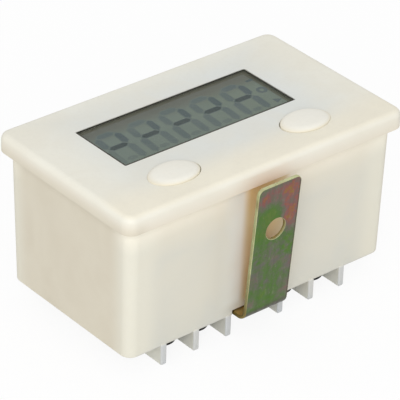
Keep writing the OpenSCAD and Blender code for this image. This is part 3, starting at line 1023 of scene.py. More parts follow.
@dataclass(frozen=True)
class CrystalCell(Finish):
    """Grey-green back of the display, clouded by its reflector, with the window walls' shade
    painted along its right and far edges and deepening towards the far side.
    """

    grain: float = 7000.0
    relief: Point = (0.2, 0.000008)
    cloud: Colour = srgb(134, 147, 131)
    cloud_x: Span = (-0.004, 0.016, 0.0, 0.6)
    mottle: float = 0.4
    # Painted shade of the window's right and far walls, along those edges.
    wall_shade: Colour = srgb(98, 95, 74)
    wall_shade_from: Point = (0.0173, 0.0112)
    wall_shade_blur: float = 0.0003
    wall_shade_share: float = 0.75
    # Painted brown shade that deepens towards the far wall.
    far_shade: Colour = srgb(112, 108, 98)
    far_shade_y: Span = (0.0062, 0.0108, 0.0, 0.7)

    def paint(self, paint: Painter) -> None:
        """Cloud the colour slowly, give it the reflector's fine sparkle and paint the window walls'
        shade in.

        Args:
            paint: Painter in the material's tree.
        """
        x, y, _ = paint.axes()
        grain = paint.effect(Effect.GRAIN, Scale=self.grain)
        amount = paint.math("MULTIPLY_ADD", grain["Mottle"], self.mottle,
                            paint.span(x, *self.cloud_x), clamp=True)
        back = paint.mix(amount, self.colour, self.cloud)
        # Painted brown shade towards the far wall.
        back = paint.mix(paint.span(y, *self.far_shade_y), back, self.far_shade)
        # Painted shade of the walls along the right and far edges.
        edges = [paint.span(value, start, start + self.wall_shade_blur)
                 for value, start in zip((x, y), self.wall_shade_from)]
        wall_shaded = paint.times(paint.math("MAXIMUM", *edges), self.wall_shade_share)
        paint.shade({"Base Color": paint.mix(wall_shaded, back, self.wall_shade),
                     "Roughness": self.rough(paint, grain["Gloss"]),
                     "Normal": paint.bump(grain["Height"], *self.relief)})


@dataclass(frozen=True)
class SegmentFilm(Finish):
    """Blue-grey liquid-crystal segments, uneven as their drive is."""

    gloss: Point = (0.0, 0.12)
    grain: float = 7000.0
    pale: Colour = srgb(104, 120, 114)
    unevenness: float = 0.4

    def paint(self, paint: Painter) -> None:
        """Let the segment fade in slow patches.

        Args:
            paint: Painter in the material's tree.
        """
        grain = paint.effect(Effect.GRAIN, Scale=self.grain)
        fade = paint.times(grain["Mottle"], self.unevenness)
        paint.shade({"Base Color": paint.mix(fade, self.colour, self.pale),
                     "Roughness": self.rough(paint, grain["Gloss"])})


IVORY = CaseIvory("ivory_moulding", srgb(224, 221, 208), 0.56, warm=srgb(228, 222, 205))
CAP_IVORY = CapIvory("button_moulding", srgb(240, 238, 228), 0.5, grain=6500.0,
                     warm=srgb(238, 233, 219))
DARK_PLASTIC = MouldedPlastic("dark_moulding", srgb(44, 44, 46), 0.5, warm=srgb(60, 56, 52))
BOARD_RESIN = MouldedPlastic("board_resin", srgb(28, 84, 48), 0.38, warm=srgb(52, 104, 52))
POTTING = MouldedPlastic("potting_resin", srgb(18, 18, 20), 0.24, warm=srgb(34, 32, 30))
ELASTOMER = MouldedPlastic("contact_elastomer", srgb(188, 104, 122), 0.62, warm=srgb(150, 84, 100))
CELL_JACKET = MouldedPlastic("printed_jacket", srgb(140, 44, 36), 0.28, warm=srgb(112, 36, 30))
BRIGHT_STEEL = Metal("turned_steel", srgb(196, 196, 192), 0.3)
BLACK_STEEL = Metal("blackened_steel", srgb(36, 36, 36), 0.42, tarnish=srgb(62, 56, 48))
BRASS = Metal("turned_brass", srgb(204, 168, 92), 0.3, tarnish=srgb(140, 104, 56))
CAN_ALUMINIUM = Metal("can_aluminium", srgb(96, 104, 128), 0.34, tarnish=srgb(70, 74, 92))
FOIL = Metal("reflector_foil", srgb(168, 172, 160), 0.45)
ZINC = ZincFilm("zinc_film", srgb(136, 138, 120), 0.38)
# Edges darken towards the foot, a painted shade.
ZINC_EDGE = FootedZinc("sheared_zinc", srgb(196, 200, 156), 0.34, tarnish=srgb(138, 118, 70),
                       tarnish_share=0.5, foot=srgb(132, 116, 62), foot_z=(0.005, 0.012))
# Gold inner face, with painted light at its foot.
ZINC_GOLD = FootedZinc("gold_zinc", srgb(220, 164, 66), 0.55, tarnish=srgb(190, 132, 50))
GLASS = PolarGlass("polar_glass", srgb(60, 70, 66), 0.12)
# Dark rim and sides of the glass, painted as the shade of the gap round it.
GAP_SHADE_RIM = MouldedPlastic("painted_gap_shade", srgb(46, 43, 30), 0.5, warm=srgb(60, 55, 38))
CELL = CrystalCell("crystal_cell", srgb(131, 146, 136), 0.6)
SEGMENTS = (SegmentFilm("segment_strong", srgb(70, 81, 81), 0.6, unevenness=0.12),
            SegmentFilm("segment_middle", srgb(90, 104, 107), 0.6, unevenness=0.3),
            SegmentFilm("segment_faint", srgb(103, 117, 117), 0.6, pale=srgb(122, 136, 128)),
            SegmentFilm("segment_ghost", srgb(118, 132, 125), 0.6, pale=srgb(122, 136, 128)))


def dress(piece: Piece, *finishes: Finish) -> None:
    """Give a piece its materials.

    Args:
        piece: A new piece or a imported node's object.
        finishes: One finish for each material index.
    """
    if piece.data.materials:
        piece.data.materials.clear()
    for finish in finishes:
        piece.data.materials.append(finish.material())


def seat(piece: Piece, body: Body, slot: str, *nodes: str) -> None:
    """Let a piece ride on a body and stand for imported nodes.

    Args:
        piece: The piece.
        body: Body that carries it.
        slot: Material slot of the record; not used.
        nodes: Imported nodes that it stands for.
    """
    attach(piece, body.value)
    if nodes:
        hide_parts(*nodes)
    stood_for = ", ".join(nodes) or "itself"
    LOG.info("%s rides on %s and stands for %s", piece.name, body.value, stood_for)


@dataclass
class Case:
    """Front panel with its flange, and the rear housing with its barrier fins."""

    flange_l: float = 65.0
    flange_w: float = 38.6
    flange_z: float = 31.4
    top_z: float = FACE_Z
    plate_z: float = 33.4
    edge_r: float = 1.3
    corner_r: float = 2.3
    lower_r: float = 0.03
    pocket_gap: float = 0.8
    pocket_r: float = 0.4
    fillet: float = 0.35
    lip: float = 1.5
    draft: float = 0.45
    wall: float = 1.8
    case_r: float = 2.2
    inner_r: float = 0.5
    rear_z: float = 4.0
    floor_z: float = 7.0
    rear_edge_r: float = 0.35
    core_x: float = CORE_X
    window: Point = (40.05, 14.8)
    window_at: Point = WINDOW_AT
    window_r: float = 0.25
    window_rim: float = 0.06
    button: Point = (5.42, 3.62)
    button_rim: float = 0.02
    button_flare: Point = (0.3, 0.4)
    button_steps: int = 96
    lip_room: float = 0.9
    lip_reach: float = 0.5
    button_at: Triple = BUTTONS_AT
    fins_each: int = 3
    fin_t: float = 1.3
    fin_pitch: float = 7.57
    fin_middle: float = 12.56
    fin_x: float = -1.03
    fin_proud: float = 0.28
    fin_root: float = 0.6
    fin_edge: float = 0.4
    fin_r: float = 0.3
    groove_w: float = 10.4
    groove_end: float = -6.07
    groove_z: float = 5.2
    groove_reach: float = 1.0
    tab: Triple = (14.0, 1.2, 2.4)
    tab_gap: float = 0.15
    tab_root: float = 0.3
    tab_edge: float = 0.2

    @property
    def case_size(self) -> Point:
        """Return the housing's length and width under the flange."""
        return (self.flange_l - 2 * self.lip, self.flange_w - 2 * self.lip)

    def build(self) -> None:
        """Make, dress and seat the mouldings."""
        for piece, node in ((self.panel(), "front_panel"), (self.housing(), "rear_housing")):
            dress(piece, IVORY)
            seat(piece, Body.CASE, "case", node)

    def panel(self) -> Piece:
        """Make the front panel: a round-edged flange with a window and two button holes.

        Returns:
            The panel.
        """
        skin = Skin()
        pocket = [size - 2 * self.wall - self.pocket_gap for size in self.case_size]
        outer = skin.stack(pocket, self.pocket_r, [(0.0, self.plate_z), (0.0, self.flange_z)])
        levels = lower_edge(self.flange_z, self.lower_r, 4)
        levels += upper_edge(self.top_z, self.edge_r, 10)
        outer += skin.stack((self.flange_l, self.flange_w), self.corner_r, levels)
        wall = [(-grow, z) for grow, z in self.rim(self.window_rim)]
        window = skin.stack(self.window, self.window_r, wall, self.window_at, 4)
        skin.plate(outer, [window])
        piece = skin.piece("panel_moulding")
        combine(piece, self.tabs(), Joint.ADD)
        combine(piece, self.button_tools(), Joint.CUT)
        soften(piece)
        return piece

    def rim(self, radius: float) -> list[Point]:
        """Return growth and height pairs up a hole's wall and round its upper rim."""
        return [(0.0, self.plate_z)] + upper_edge(self.top_z, radius, 4)

    def button_tools(self) -> Piece:
        """Make the oval solids that cut the button holes and the room for the caps' lips.

        Returns:
            The solids as one piece.
        """
        skin = Skin()
        wide, above = self.button_flare
        levels = [(self.lip_room, self.flange_z - self.lip_reach), (self.lip_room, self.plate_z)]
        levels += self.rim(self.button_rim) + [(wide, self.top_z + above)]
        middle, reach, y = self.button_at
        long, short = self.button
        for side in Side:
            place = (middle + side.value * reach, y)
            skin.close([skin.ring(oval((long + grow, short + grow), place, self.button_steps), z)
                        for grow, z in levels])
        return skin.piece("button_tools")

    def tabs(self) -> Piece:
        """Make the four tabs that locate the panel in the housing.

        Returns:
            The tabs as one piece.
        """
        skin = Skin()
        width, thick, reach = self.tab
        off_x, off_y = [size / 2 - self.wall - self.tab_gap - thick / 2 for size in self.case_size]
        low_z, high_z = self.flange_z - reach, self.plate_z + self.tab_root
        for side in Side:
            for x, y, long, wide in ((self.core_x, side.value * off_y, width, thick),
                                     (side.value * off_x, 0.0, thick, width)):
                skin.block(Vector((x - long / 2, y - wide / 2, low_z)),
                           Vector((x + long / 2, y + wide / 2, high_z)), self.tab_edge)
        return skin.piece("tabs")

    def housing(self) -> Piece:
        """Make the drafted rear housing with its fins and the groove for the bracket's foot.

        Returns:
            The housing.
        """
        skin = Skin()
        length, width = self.case_size
        inner_draft = self.draft * (self.flange_z - self.floor_z) / (self.flange_z - self.rear_z)
        base = (length - 2 * self.draft, width - 2 * self.draft)
        rings = skin.stack(base, self.case_r, lower_edge(self.rear_z, self.rear_edge_r, 5))
        fillet = [(-grow, z) for grow, z in upper_edge(self.flange_z, self.fillet, 5)]
        rings += skin.stack(self.case_size, self.case_r, fillet)
        for inset, z in ((self.wall, self.flange_z), (self.wall + inner_draft, self.floor_z)):
            plan = rounded_rect(length - 2 * inset, width - 2 * inset, self.inner_r)
            rings.append(skin.ring(plan, z))
        skin.close(rings)
        piece = skin.piece("housing_moulding")
        combine(piece, self.groove_tool(), Joint.CUT)
        combine(piece, self.fins(), Joint.ADD)
        soften(piece)
        return piece

    def groove_tool(self) -> Piece:
        """Make the solid that cuts the groove for the bracket's foot.

        Returns:
            The solid.
        """
        skin = Skin()
        half, reach = self.groove_w / 2, self.groove_reach
        start = -self.case_size[1] / 2 - reach
        skin.block(Vector((self.core_x - half, start, self.rear_z - reach)),
                   Vector((self.core_x + half, self.groove_end, self.groove_z)))
        return skin.piece("groove_tool")

    def fins(self) -> Piece:
        """Make the barrier fins, which reach into the housing's rear wall.

        Returns:
            The fins as one piece.
        """
        skin = Skin()
        half = self.case_size[1] / 2 - self.draft + self.fin_proud
        for side in Side:
            for i in range(self.fins_each):
                x = self.fin_x + side.value * (self.fin_middle / 2 + i * self.fin_pitch)
                skin.block(Vector((x - self.fin_t / 2, -half, 0.0)),
                           Vector((x + self.fin_t / 2, half, self.rear_z + self.fin_root)),
                           self.fin_edge, self.fin_r)
        return skin.piece("fins")


class Tone(Enum):
    """How strongly a segment of the display shows."""

    STRONG = 0
    MIDDLE = 1
    FAINT = 2
    GHOST = 3
    SHEET = 4


@dataclass(frozen=True)
class Stroke:
    """Half of a segment's width, its soft border and the border's tone, which also paints the
    segment's shadow on the reflector.
    """

    half: float
    fade: float
    border: Tone


# Border tones soften each segment's edge and paint its shadow on the reflector.
STROKES = {
    Tone.STRONG: Stroke(0.75, 0.15, Tone.FAINT),
    Tone.MIDDLE: Stroke(0.88, 0.22, Tone.GHOST),
    Tone.FAINT: Stroke(0.88, 0.22, Tone.GHOST),
    Tone.GHOST: Stroke(0.6, 0.1, Tone.GHOST),
}


@dataclass
class Digits:
    """Five seven-segment digits and three small marks, as a thin film."""

    count: int = 5
    across: float = 4.4
    down: float = 4.53
    pitch: float = 7.3
    gap: float = 0.02
    # Extra length of the lower uprights; part of it paints their shadow on the reflector.
    tail: float = 1.1
    short: float = 1.9
    border_drop: float = 0.005
    slant: float = 4.3
    middle: Point = (-3.05, 2.35)
    sheet: Point = (39.85, 14.6)
    sheet_r: float = 0.2
    sheet_at: Point = WINDOW_AT
    sheet_z: Point = (33.45, 34.54)
    base_z: float = 34.543
    high_z: float = 34.555
    dash: Triple = (1.575, 0.63, 0.1)
    dash_at: Point = (16.86, 6.92)
    ring_r: Point = (1.113, 0.462)
    ring_at: Point = (16.47, 2.78)
    ring_steps: int = 32
    pointer: float = 1.68
    pointer_at: Point = (16.56, -1.86)

    def build(self) -> Piece:
        """Make the polariser's sheet with the segments on it.

        Returns:
            The film, with one material index for each tone.
        """
        skin = Skin()
        plan = rounded_rect(*self.sheet, self.sheet_r, self.sheet_at, 4)
        self.raise_up(skin, plan, *self.sheet_z, Tone.SHEET)
        across, down = self.across, self.down
        low = -(down + self.tail) / 2
        for i in range(self.count):
            x = (i - (self.count - 1) / 2) * self.pitch
            bars = [((0, 0), across + 2 * self.gap, False, Tone.STRONG),
                    ((0, down), across, False, Tone.FAINT),
                    ((0, -down), across - self.short, False, Tone.GHOST),
                    ((across / 2, down / 2), down, True, Tone.MIDDLE),
                    ((-across / 2, down / 2), down, True, Tone.FAINT),
                    ((across / 2, low), down + self.tail, True, Tone.FAINT),
                    ((-across / 2, low), down + self.tail, True, Tone.FAINT if i else Tone.GHOST)]
            for (dx, dy), long, upright, tone in bars:
                plans = [[self.leaned(px + dx, py + dy, x) for px, py in points]
                         for points in self.bar(long, upright, STROKES[tone])]
                self.segment(skin, *plans, tone)
        self.marks(skin)
        return skin.piece("digit_film")

    def leaned(self, x: float, y: float, shift: float) -> Point:
        """Return a digit's point leaned over and put in its place."""
        lean = math.tan(math.radians(self.slant))
        return (self.middle[0] + shift + x + y * lean, self.middle[1] + y)

    def bar(self, long: float, upright: bool, stroke: Stroke) -> list[list[Point]]:
        """Return a bar round the origin with mitred ends.

        Args:
            long: Distance between the corners that it joins.
            upright: Whether it runs along Y.
            stroke: Its width and border.

        Returns:
            Its outline and the outline inside its border, each of six corners, anticlockwise.
        """
        plans = []
        for inset in (0.0, stroke.fade):
            half, end = stroke.half - inset, long / 2 - self.gap - inset * math.sqrt(2)
            flat = end - half
            points = [(-end, 0.0), (-flat, -half), (flat, -half),
                      (end, 0.0), (flat, half), (-flat, half)]
            plans.append([(-y, x) for x, y in points] if upright else points)
        return plans

    def raise_up(self, skin: Skin, points: list[Point], low_z: float, high_z: float,
                 tone: Tone) -> None:
        """Add a flat solid over an outline, between two heights, in one tone."""
        skin.close([skin.ring(points, low_z), skin.ring(points, high_z)], tone.value)

    def segment(self, skin: Skin, outer: list[Point], inner: list[Point], tone: Tone) -> None:
        """Add a segment with a soft border that lies on the sheet and also paints its shadow on the
        reflector.

        Args:
            skin: Mesh that grows.
            outer: Its outline.
            inner: The outline inside its border.
            tone: Tone of its middle.
        """
        border = STROKES[tone].border.value
        rings = [skin.ring(outer, self.base_z), skin.ring(outer, self.high_z - self.border_drop),
                 skin.ring(inner, self.high_z)]
        skin.chain(rings, border)
        skin.bm.faces.new(rings[0]).material_index = border
        skin.bm.faces.new(rings[-1]).material_index = tone.value

    def marks(self, skin: Skin) -> None:
        """Add a dash, a ring and a pointer to the right of the digits.

        Args:
            skin: Mesh that grows.
        """
        heights = (self.base_z, self.high_z)
        self.raise_up(skin, rounded_rect(*self.dash, self.dash_at, 2), *heights, Tone.MIDDLE)
        half, (x, y) = self.pointer / 2, self.pointer_at
        corners = [(x + half, y), (x - half, y + half), (x - half, y - half)]
        self.raise_up(skin, corners, *heights, Tone.FAINT)
        outer, inner = [[skin.ring(circle(radius, self.ring_at, self.ring_steps), z)
                         for z in heights] for radius in self.ring_r]
        for low, high in (outer, inner, *zip(outer, inner)):
            skin.bridge(low, high, Tone.FAINT.value)


@dataclass
class Display:
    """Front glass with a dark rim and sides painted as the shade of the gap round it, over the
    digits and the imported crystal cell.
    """

    size: Point = (39.87, 14.62)
    corner_r: float = 0.3
    pane_r: float = 0.1
    low_z: float = 34.6
    high_z: float = 34.9
    middle: Point = WINDOW_AT
    edge: float = 0.06
    # Widths of the painted gap shade round the pane: left, right, near and far.
    rim: tuple[float, float, float, float] = (0.2, 0.2, 0.25, 0.06)

    def build(self) -> None:
        """Make, dress and seat the glass and the digits."""
        glass = self.glass()
        dress(glass, GLASS, GAP_SHADE_RIM)
        seat(glass, Body.CASE, "glass", "lcd_front_glass")
        digits = Digits().build()
        dress(digits, *SEGMENTS, CELL)
        seat(digits, Body.CASE, "segment", "lcd_segments")

    def glass(self) -> Piece:
        """Make the glass with its dark rim and sides, painted as the gap's shade.

        Returns:
            The glass.
        """
        skin = Skin()
        levels = [(self.edge, self.low_z), (0.0, self.low_z + self.edge)]
        levels += upper_edge(self.high_z, self.edge, 3)
        rings = skin.stack(self.size, self.corner_r, levels, self.middle, 4)
        left, right, near, far = self.rim
        centre = (self.middle[0] + (left - right) / 2, self.middle[1] + (near - far) / 2)
        length, width = [size - 2 * self.edge for size in self.size]
        inner = rounded_rect(length - left - right, width - near - far, self.pane_r, centre, 4)
        pane = skin.ring(inner, self.high_z)
        skin.chain(rings, 1)
        skin.bridge(rings[-1], pane, 1)
        skin.bm.faces.new(rings[0])
        skin.bm.faces.new(pane)
        piece = skin.piece("window_glass")
        soften(piece)
        return piece


@dataclass
class PushButton:
    """A domed cap with a retaining lip under the panel."""

    name: str
    body: Body
    node: str
    side: Side
    half: Point = (5.4, 3.6)
    lip: float = 0.75
    lip_z: Point = (32.45, 33.25)
    lip_ease: float = 0.1
    top_z: float = 35.9
    seam_z: float = 35.03
    dome: float = 0.55
    edge: float = 1.6
    trim: float = 0.22
    steps: int = 96
    rows: int = 8
    sharp: float = 40.0
    at: Triple = BUTTONS_AT

    @property
    def centre(self) -> Point:
        """Return the cap's middle."""
        middle, reach, y = self.at
        return (middle + self.side.value * reach, y)

    def build(self) -> None:
        """Make, dress and seat the cap."""
        skin = Skin()
        levels = chamfered(*self.lip_z, self.lip_ease) + [(self.lip, self.lip_z[1])]
        rings = [skin.ring(self.plan(self.lip - inset), z) for inset, z in levels]
        for inset, share in self.crown():
            rings.append([skin.bm.verts.new((x, y, self.height(x, y, share)))
                          for x, y in self.trimmed(self.plan(-inset))])
        skin.close(rings)
        cap = skin.piece(self.name)
        soften(cap, self.sharp)
        dress(cap, CAP_IVORY)
        seat(cap, self.body, "button", self.node)

    def plan(self, grow: float) -> list[Point]:
        """Lay out the cap's oval, grown evenly or shrunk in proportion.

        Args:
            grow: How far it grows, or shrinks below 0.

        Returns:
            The oval's points.
        """
        long, short = self.half
        side = short + grow if grow > 0 else short * (1 + grow / long)
        return oval((long + grow, side), self.centre, self.steps)

    def trimmed(self, points: list[Point]) -> list[Point]:
        """Draw points in on the side that faces the other cap.

        Args:
            points: Points of the cap's plan.

        Returns:
            The points in the same order.
        """
        middle, inner = self.centre[0], 1 - self.trim / self.half[0]
        return [(middle + (x - middle) * (inner if (x - middle) * self.side.value < 0 else 1.0), y)
                for x, y in points]

    def height(self, x: float, y: float, share: float) -> float:
        """Return a height over a point.

        Args:
            x: The point's X.
            y: The point's Y.
            share: Part of the way from the seam up to the dome's sphere.

        Returns:
            The height.
        """
        sphere = (self.half[0] ** 2 + self.dome ** 2) / (2 * self.dome)
        off = math.dist((x, y), self.centre)
        dome = self.top_z - sphere + math.sqrt(sphere ** 2 - off ** 2)
        return self.seam_z + share * (dome - self.seam_z)

    def crown(self) -> list[Point]:
        """List the rows of the cap's top, from its seam round the edge to its middle.

        Returns:
            For each row its inset and its share of the dome's height.
        """
        edge = [(self.edge * c, s) for c, s in quarter(self.rows)]
        room = self.half[0] - self.edge
        inner = [(self.edge + room * row / self.rows, 1.0) for row in range(1, self.rows)]
        return edge + inner


@dataclass
class Bracket:
    """Bent strip whose leg leans away from the case."""

    width: float = 10.0
    thick: float = 1.0
    inner_t: float = 0.3
    bend_r: float = 1.2
    lean: float = 5.0
    foot_end: float = -6.27
    foot_top: float = 5.2
    bend_y: float = -18.6546
    leg_l: float = 27.1952
    corner_r: float = 1.3
    hole_r: float = 2.25
    hole_drop: float = 10.0
    foot_hole_r: float = 2.15
    foot_hole_y: float = FOOT_Y
    core_x: float = CORE_X
    edge: float = 0.14
    knee: float = 0.3
    hole_ease: float = 0.7
    bend_steps: int = 16
    corner_steps: int = 8

    @property
    def foot_l(self) -> float:
        """Return the foot's flat length."""
        return self.foot_end - self.bend_y

    @property
    def arc(self) -> float:
        """Return the bend's length on its inner face."""
        return self.bend_r * math.radians(90 - self.lean)

    @property
    def total(self) -> float:
        """Return the strip's whole length on its inner face."""
        return self.foot_l + self.arc + self.leg_l

    def build(self) -> None:
        """Make, dress and seat the strip."""
        strip = self.strip()
        dress(strip, ZINC, ZINC_EDGE, ZINC_GOLD)
        seat(strip, Body.CASE, "yellow_zinc", "mounting_bracket")

    def bent(self, u: float, s: float, t: float) -> Vector:
        """Place a point of the flat strip on the bent one.

        Args:
            u: Distance across from the middle.
            s: Distance along the inner face from the foot's end.
            t: Depth from the inner face.

        Returns:
            The point in the case's axes.
        """
        bend_z = self.foot_top + self.bend_r
        along = s - self.foot_l
        if along <= 0:
            return Vector((self.core_x + u, self.foot_end - s, self.foot_top - t))
        turn = min(along / self.bend_r, math.radians(90 - self.lean))
        rise = max(0.0, along - self.arc)
        radius = self.bend_r + t
        lean = math.radians(self.lean)
        return Vector((
            self.core_x + u,
            self.bend_y - radius * math.sin(turn) - rise * math.sin(lean),
            bend_z - radius * math.cos(turn) + rise * math.cos(lean),
        ))

    def outline(self, inset: float) -> list[Point]:
        """Return the flat strip's outline, drawn in by a bevel.

        Args:
            inset: How far the outline is drawn in.

        Returns:
            Points (u, s): up the right side, round the free end and down the left side.
        """
        half = self.width / 2 - inset
        steps = self.bend_steps
        side = [(half, inset)]
        side += [(half, self.foot_l + self.arc * i / steps) for i in range(steps + 1)]
        corner = upper_edge(self.total - inset, self.corner_r - inset, self.corner_steps)
        side += [(half - across, s) for across, s in corner]
        return side + [(-u, s) for u, s in reversed(side)]

    def strip(self) -> Piece:
        """Make the bent strip with its two holes and eased edges.

        Returns:
            The strip.
        """
        skin = Skin()
        soft, knee, inner, outer = self.edge, self.edge * self.knee, self.inner_t, self.thick
        levels = [(soft, inner), (knee, inner + knee), (0.0, inner + soft),
                  (0.0, outer - soft), (knee, outer - knee), (soft, outer)]
        rounds = [(self.foot_hole_r, self.foot_end - self.foot_hole_y),
                  (self.hole_r, self.total - self.hole_drop)]

        def lifted(points: list[Point], depth: float) -> Ring:
            """Return the vertices of flat points at a depth."""
            return [skin.bm.verts.new(self.bent(u, s, depth)) for u, s in points]

        rim = [lifted(self.outline(inset), depth) for inset, depth in levels]
        holes = [[lifted(circle(radius + inset * self.hole_ease, (0.0, s), ROUND_STEPS), depth)
                  for inset, depth in levels] for radius, s in rounds]
        for wall in [rim, *holes]:
            skin.chain(wall, 1)
        for index, material in ((0, 2), (len(levels) - 1, 0)):
            self.cover(skin, rim[index], [hole[index] for hole in holes], material)
        piece = skin.piece("bracket_strip")
        soften(piece)
        return piece

    def cover(self, skin: Skin, rim: Ring, holes: list[Ring], material: int) -> None:
        """Close one face of the strip: the foot, the bend and the leg.

        Args:
            skin: Mesh that grows.
            rim: The face's outline.
            holes: Rings of the foot's hole and the leg's hole.
            material: Material index of the face.
        """
        steps = self.bend_steps
        right = rim[1:steps + 2]
        left = [rim[-2 - i] for i in range(steps + 1)]
        for i in range(steps):
            face = skin.bm.faces.new((right[i], right[i + 1], left[i + 1], left[i]))
            face.material_index = material
        skin.fill([rim[0], right[0], left[0], rim[-1]], holes[0], material=material)
        skin.fill(rim[steps + 1:len(rim) - steps - 1], holes[1], material=material)


@dataclass
class ScrewRow:
    """Cross-slotted screws, hanging head down. The shares are parts of a head's size."""

    name: str
    places: list[Point]
    head_r: float
    head_h: float
    head_z: float
    shank_r: float
    tip_z: float
    finish: Finish
    slot: str
    node: str
    soft_share: float = 0.15
    ease: float = 0.1
    tip: float = 0.4
    cross_shares: Triple = (0.8, 0.15, 0.32)
    cross_reach: float = 1.0

    def build(self) -> None:
        """Make, dress and seat the screws."""
        skin = Skin()
        tool = Skin()
        for x, y in self.places:
            skin.lathe(self.profile(), (x, y), ROUND_STEPS)
            self.cross(tool, x, y)
        piece = skin.piece(self.name)
        combine(piece, tool.piece(self.name + "_tool"), Joint.CUT)
        soften(piece, FASTENER_SHARP)
        dress(piece, self.finish)
        seat(piece, Body.CASE, self.slot, self.node)

    def profile(self) -> list[Point]:
        """Lay out a screw from its head's face up to its tip.

        Returns:
            Pairs of radius and height.
        """
        face, back = self.head_z, self.head_z + self.head_h
        head, shank, end = self.head_r, self.shank_r, self.tip_z
        soft = lower_edge(face, self.soft_share * self.head_h, 5)
        return [(0.0, face), *[(head - inset, z) for inset, z in soft],
                (head, back - self.ease), (head - self.ease, back), (shank, back),
                (shank, end - self.tip), (shank - self.tip, end), (0.0, end)]

    def cross(self, tool: Skin, x: float, y: float) -> None:
        """Add the cross that is cut from one head.

        Args:
            tool: Mesh that grows.
            x: The screw's X.
            y: The screw's Y.
        """
        long, thin, deep = [share * self.head_r for share in self.cross_shares]
        arm = [(long, -thin), (long, thin), (thin, thin)]
        outline = []
        for turn in range(4):
            c, s = round(math.cos(turn * math.pi / 2)), round(math.sin(turn * math.pi / 2))
            outline += [(x + px * c - py * s, y + px * s + py * c) for px, py in arm]
        low = tool.ring(outline, self.head_z - self.cross_reach)
        high = tool.ring(outline, self.head_z + deep)
        tool.bridge(low, high)
        tool.fill(low)
        tool.fill(high)


@dataclass
class WasherRow:
    """Flat washers, square or round, with eased edges."""

    name: str
    places: list[Point]
    outer: float
    corner: float
    hole_r: float
    low_z: float
    thick: float
    finish: Finish
    slot: str
    node: str
    ease: float = 0.1
    corner_steps: int = 12

    def build(self) -> None:
        """Make, dress and seat the washers."""
        skin = Skin()
        levels = chamfered(self.low_z, self.low_z + self.thick, self.ease)
        for place in self.places:
            wall = skin.stack((self.outer, self.outer), self.corner, levels, place,
                              self.corner_steps)
            hole = [skin.ring(circle(self.hole_r + inset, place, ROUND_STEPS), z)
                    for inset, z in levels]
            skin.plate(wall, [hole])
        piece = skin.piece(self.name)
        soften(piece, FASTENER_SHARP)
        dress(piece, self.finish)
        seat(piece, Body.CASE, self.slot, self.node)


@dataclass
class Fasteners:
    """The terminal screws and the bracket foot's screw, each with its washer."""

    core_x: float = CORE_X
    terminal_y: float = -12.45
    terminal_x: Point = (10.25, 17.85)
    foot_y: float = FOOT_Y

    def build(self) -> None:
        """Build all screws and washers."""
        ends = [(self.core_x + side.value * x, self.terminal_y)
                for side in Side for x in self.terminal_x]
        foot = [(self.core_x, self.foot_y)]
        steel = {"finish": BRIGHT_STEEL, "slot": "bright_steel"}
        rows = (
            ScrewRow("terminal_heads", ends, head_r=2.7, head_h=1.8, head_z=1.6, shank_r=1.5,
                     tip_z=8.1, finish=BLACK_STEEL, slot="black_steel", node="terminal_screws"),
            WasherRow("terminal_plates", ends, outer=5.6, corner=0.4, hole_r=1.65, low_z=3.4,
                      thick=0.6, node="terminal_washers", **steel),
            ScrewRow("foot_bolt", foot, head_r=3.5, head_h=2.2, head_z=1.2, shank_r=2.0,
                     tip_z=9.6, node="bracket_screw", **steel),
            WasherRow("foot_ring", foot, outer=8.0, corner=3.99, hole_r=2.15, low_z=3.4,
                      thick=0.8, node="bracket_washer", **steel),
        )
        for row in rows:
            row.build()


@dataclass
class Interior:
    """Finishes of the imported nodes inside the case."""

    finishes: dict[str, Finish] = field(default_factory=lambda: {
        "lcd_rear_glass": CELL,
        "lcd_reflector": FOIL,
        "lcd_frame": DARK_PLASTIC,
        "elastomer_strips": ELASTOMER,
        "main_board": BOARD_RESIN,
        "controller_chip": POTTING,
        "chip_resistors": POTTING,
        "quartz_can": BRIGHT_STEEL,
        "capacitor": CAN_ALUMINIUM,
        "board_screws": BRIGHT_STEEL,
        "switch_bodies": DARK_PLASTIC,
        "pause_plunger": DARK_PLASTIC,
        "reset_plunger": DARK_PLASTIC,
        "battery_cradle": DARK_PLASTIC,
        "battery_cell": CELL_JACKET,
        "negative_contact": BRIGHT_STEEL,
        "contact_spring": BRIGHT_STEEL,
        "positive_contact": BRIGHT_STEEL,
        "terminal_posts": BRASS,
        "bracket_insert": BRASS,
    })

    def build(self) -> None:
        """Dress each inner node."""
        for node, finish in self.finishes.items():
            dress(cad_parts[node], finish)
            LOG.info("%s keeps its solid, in %s", node, finish.name)


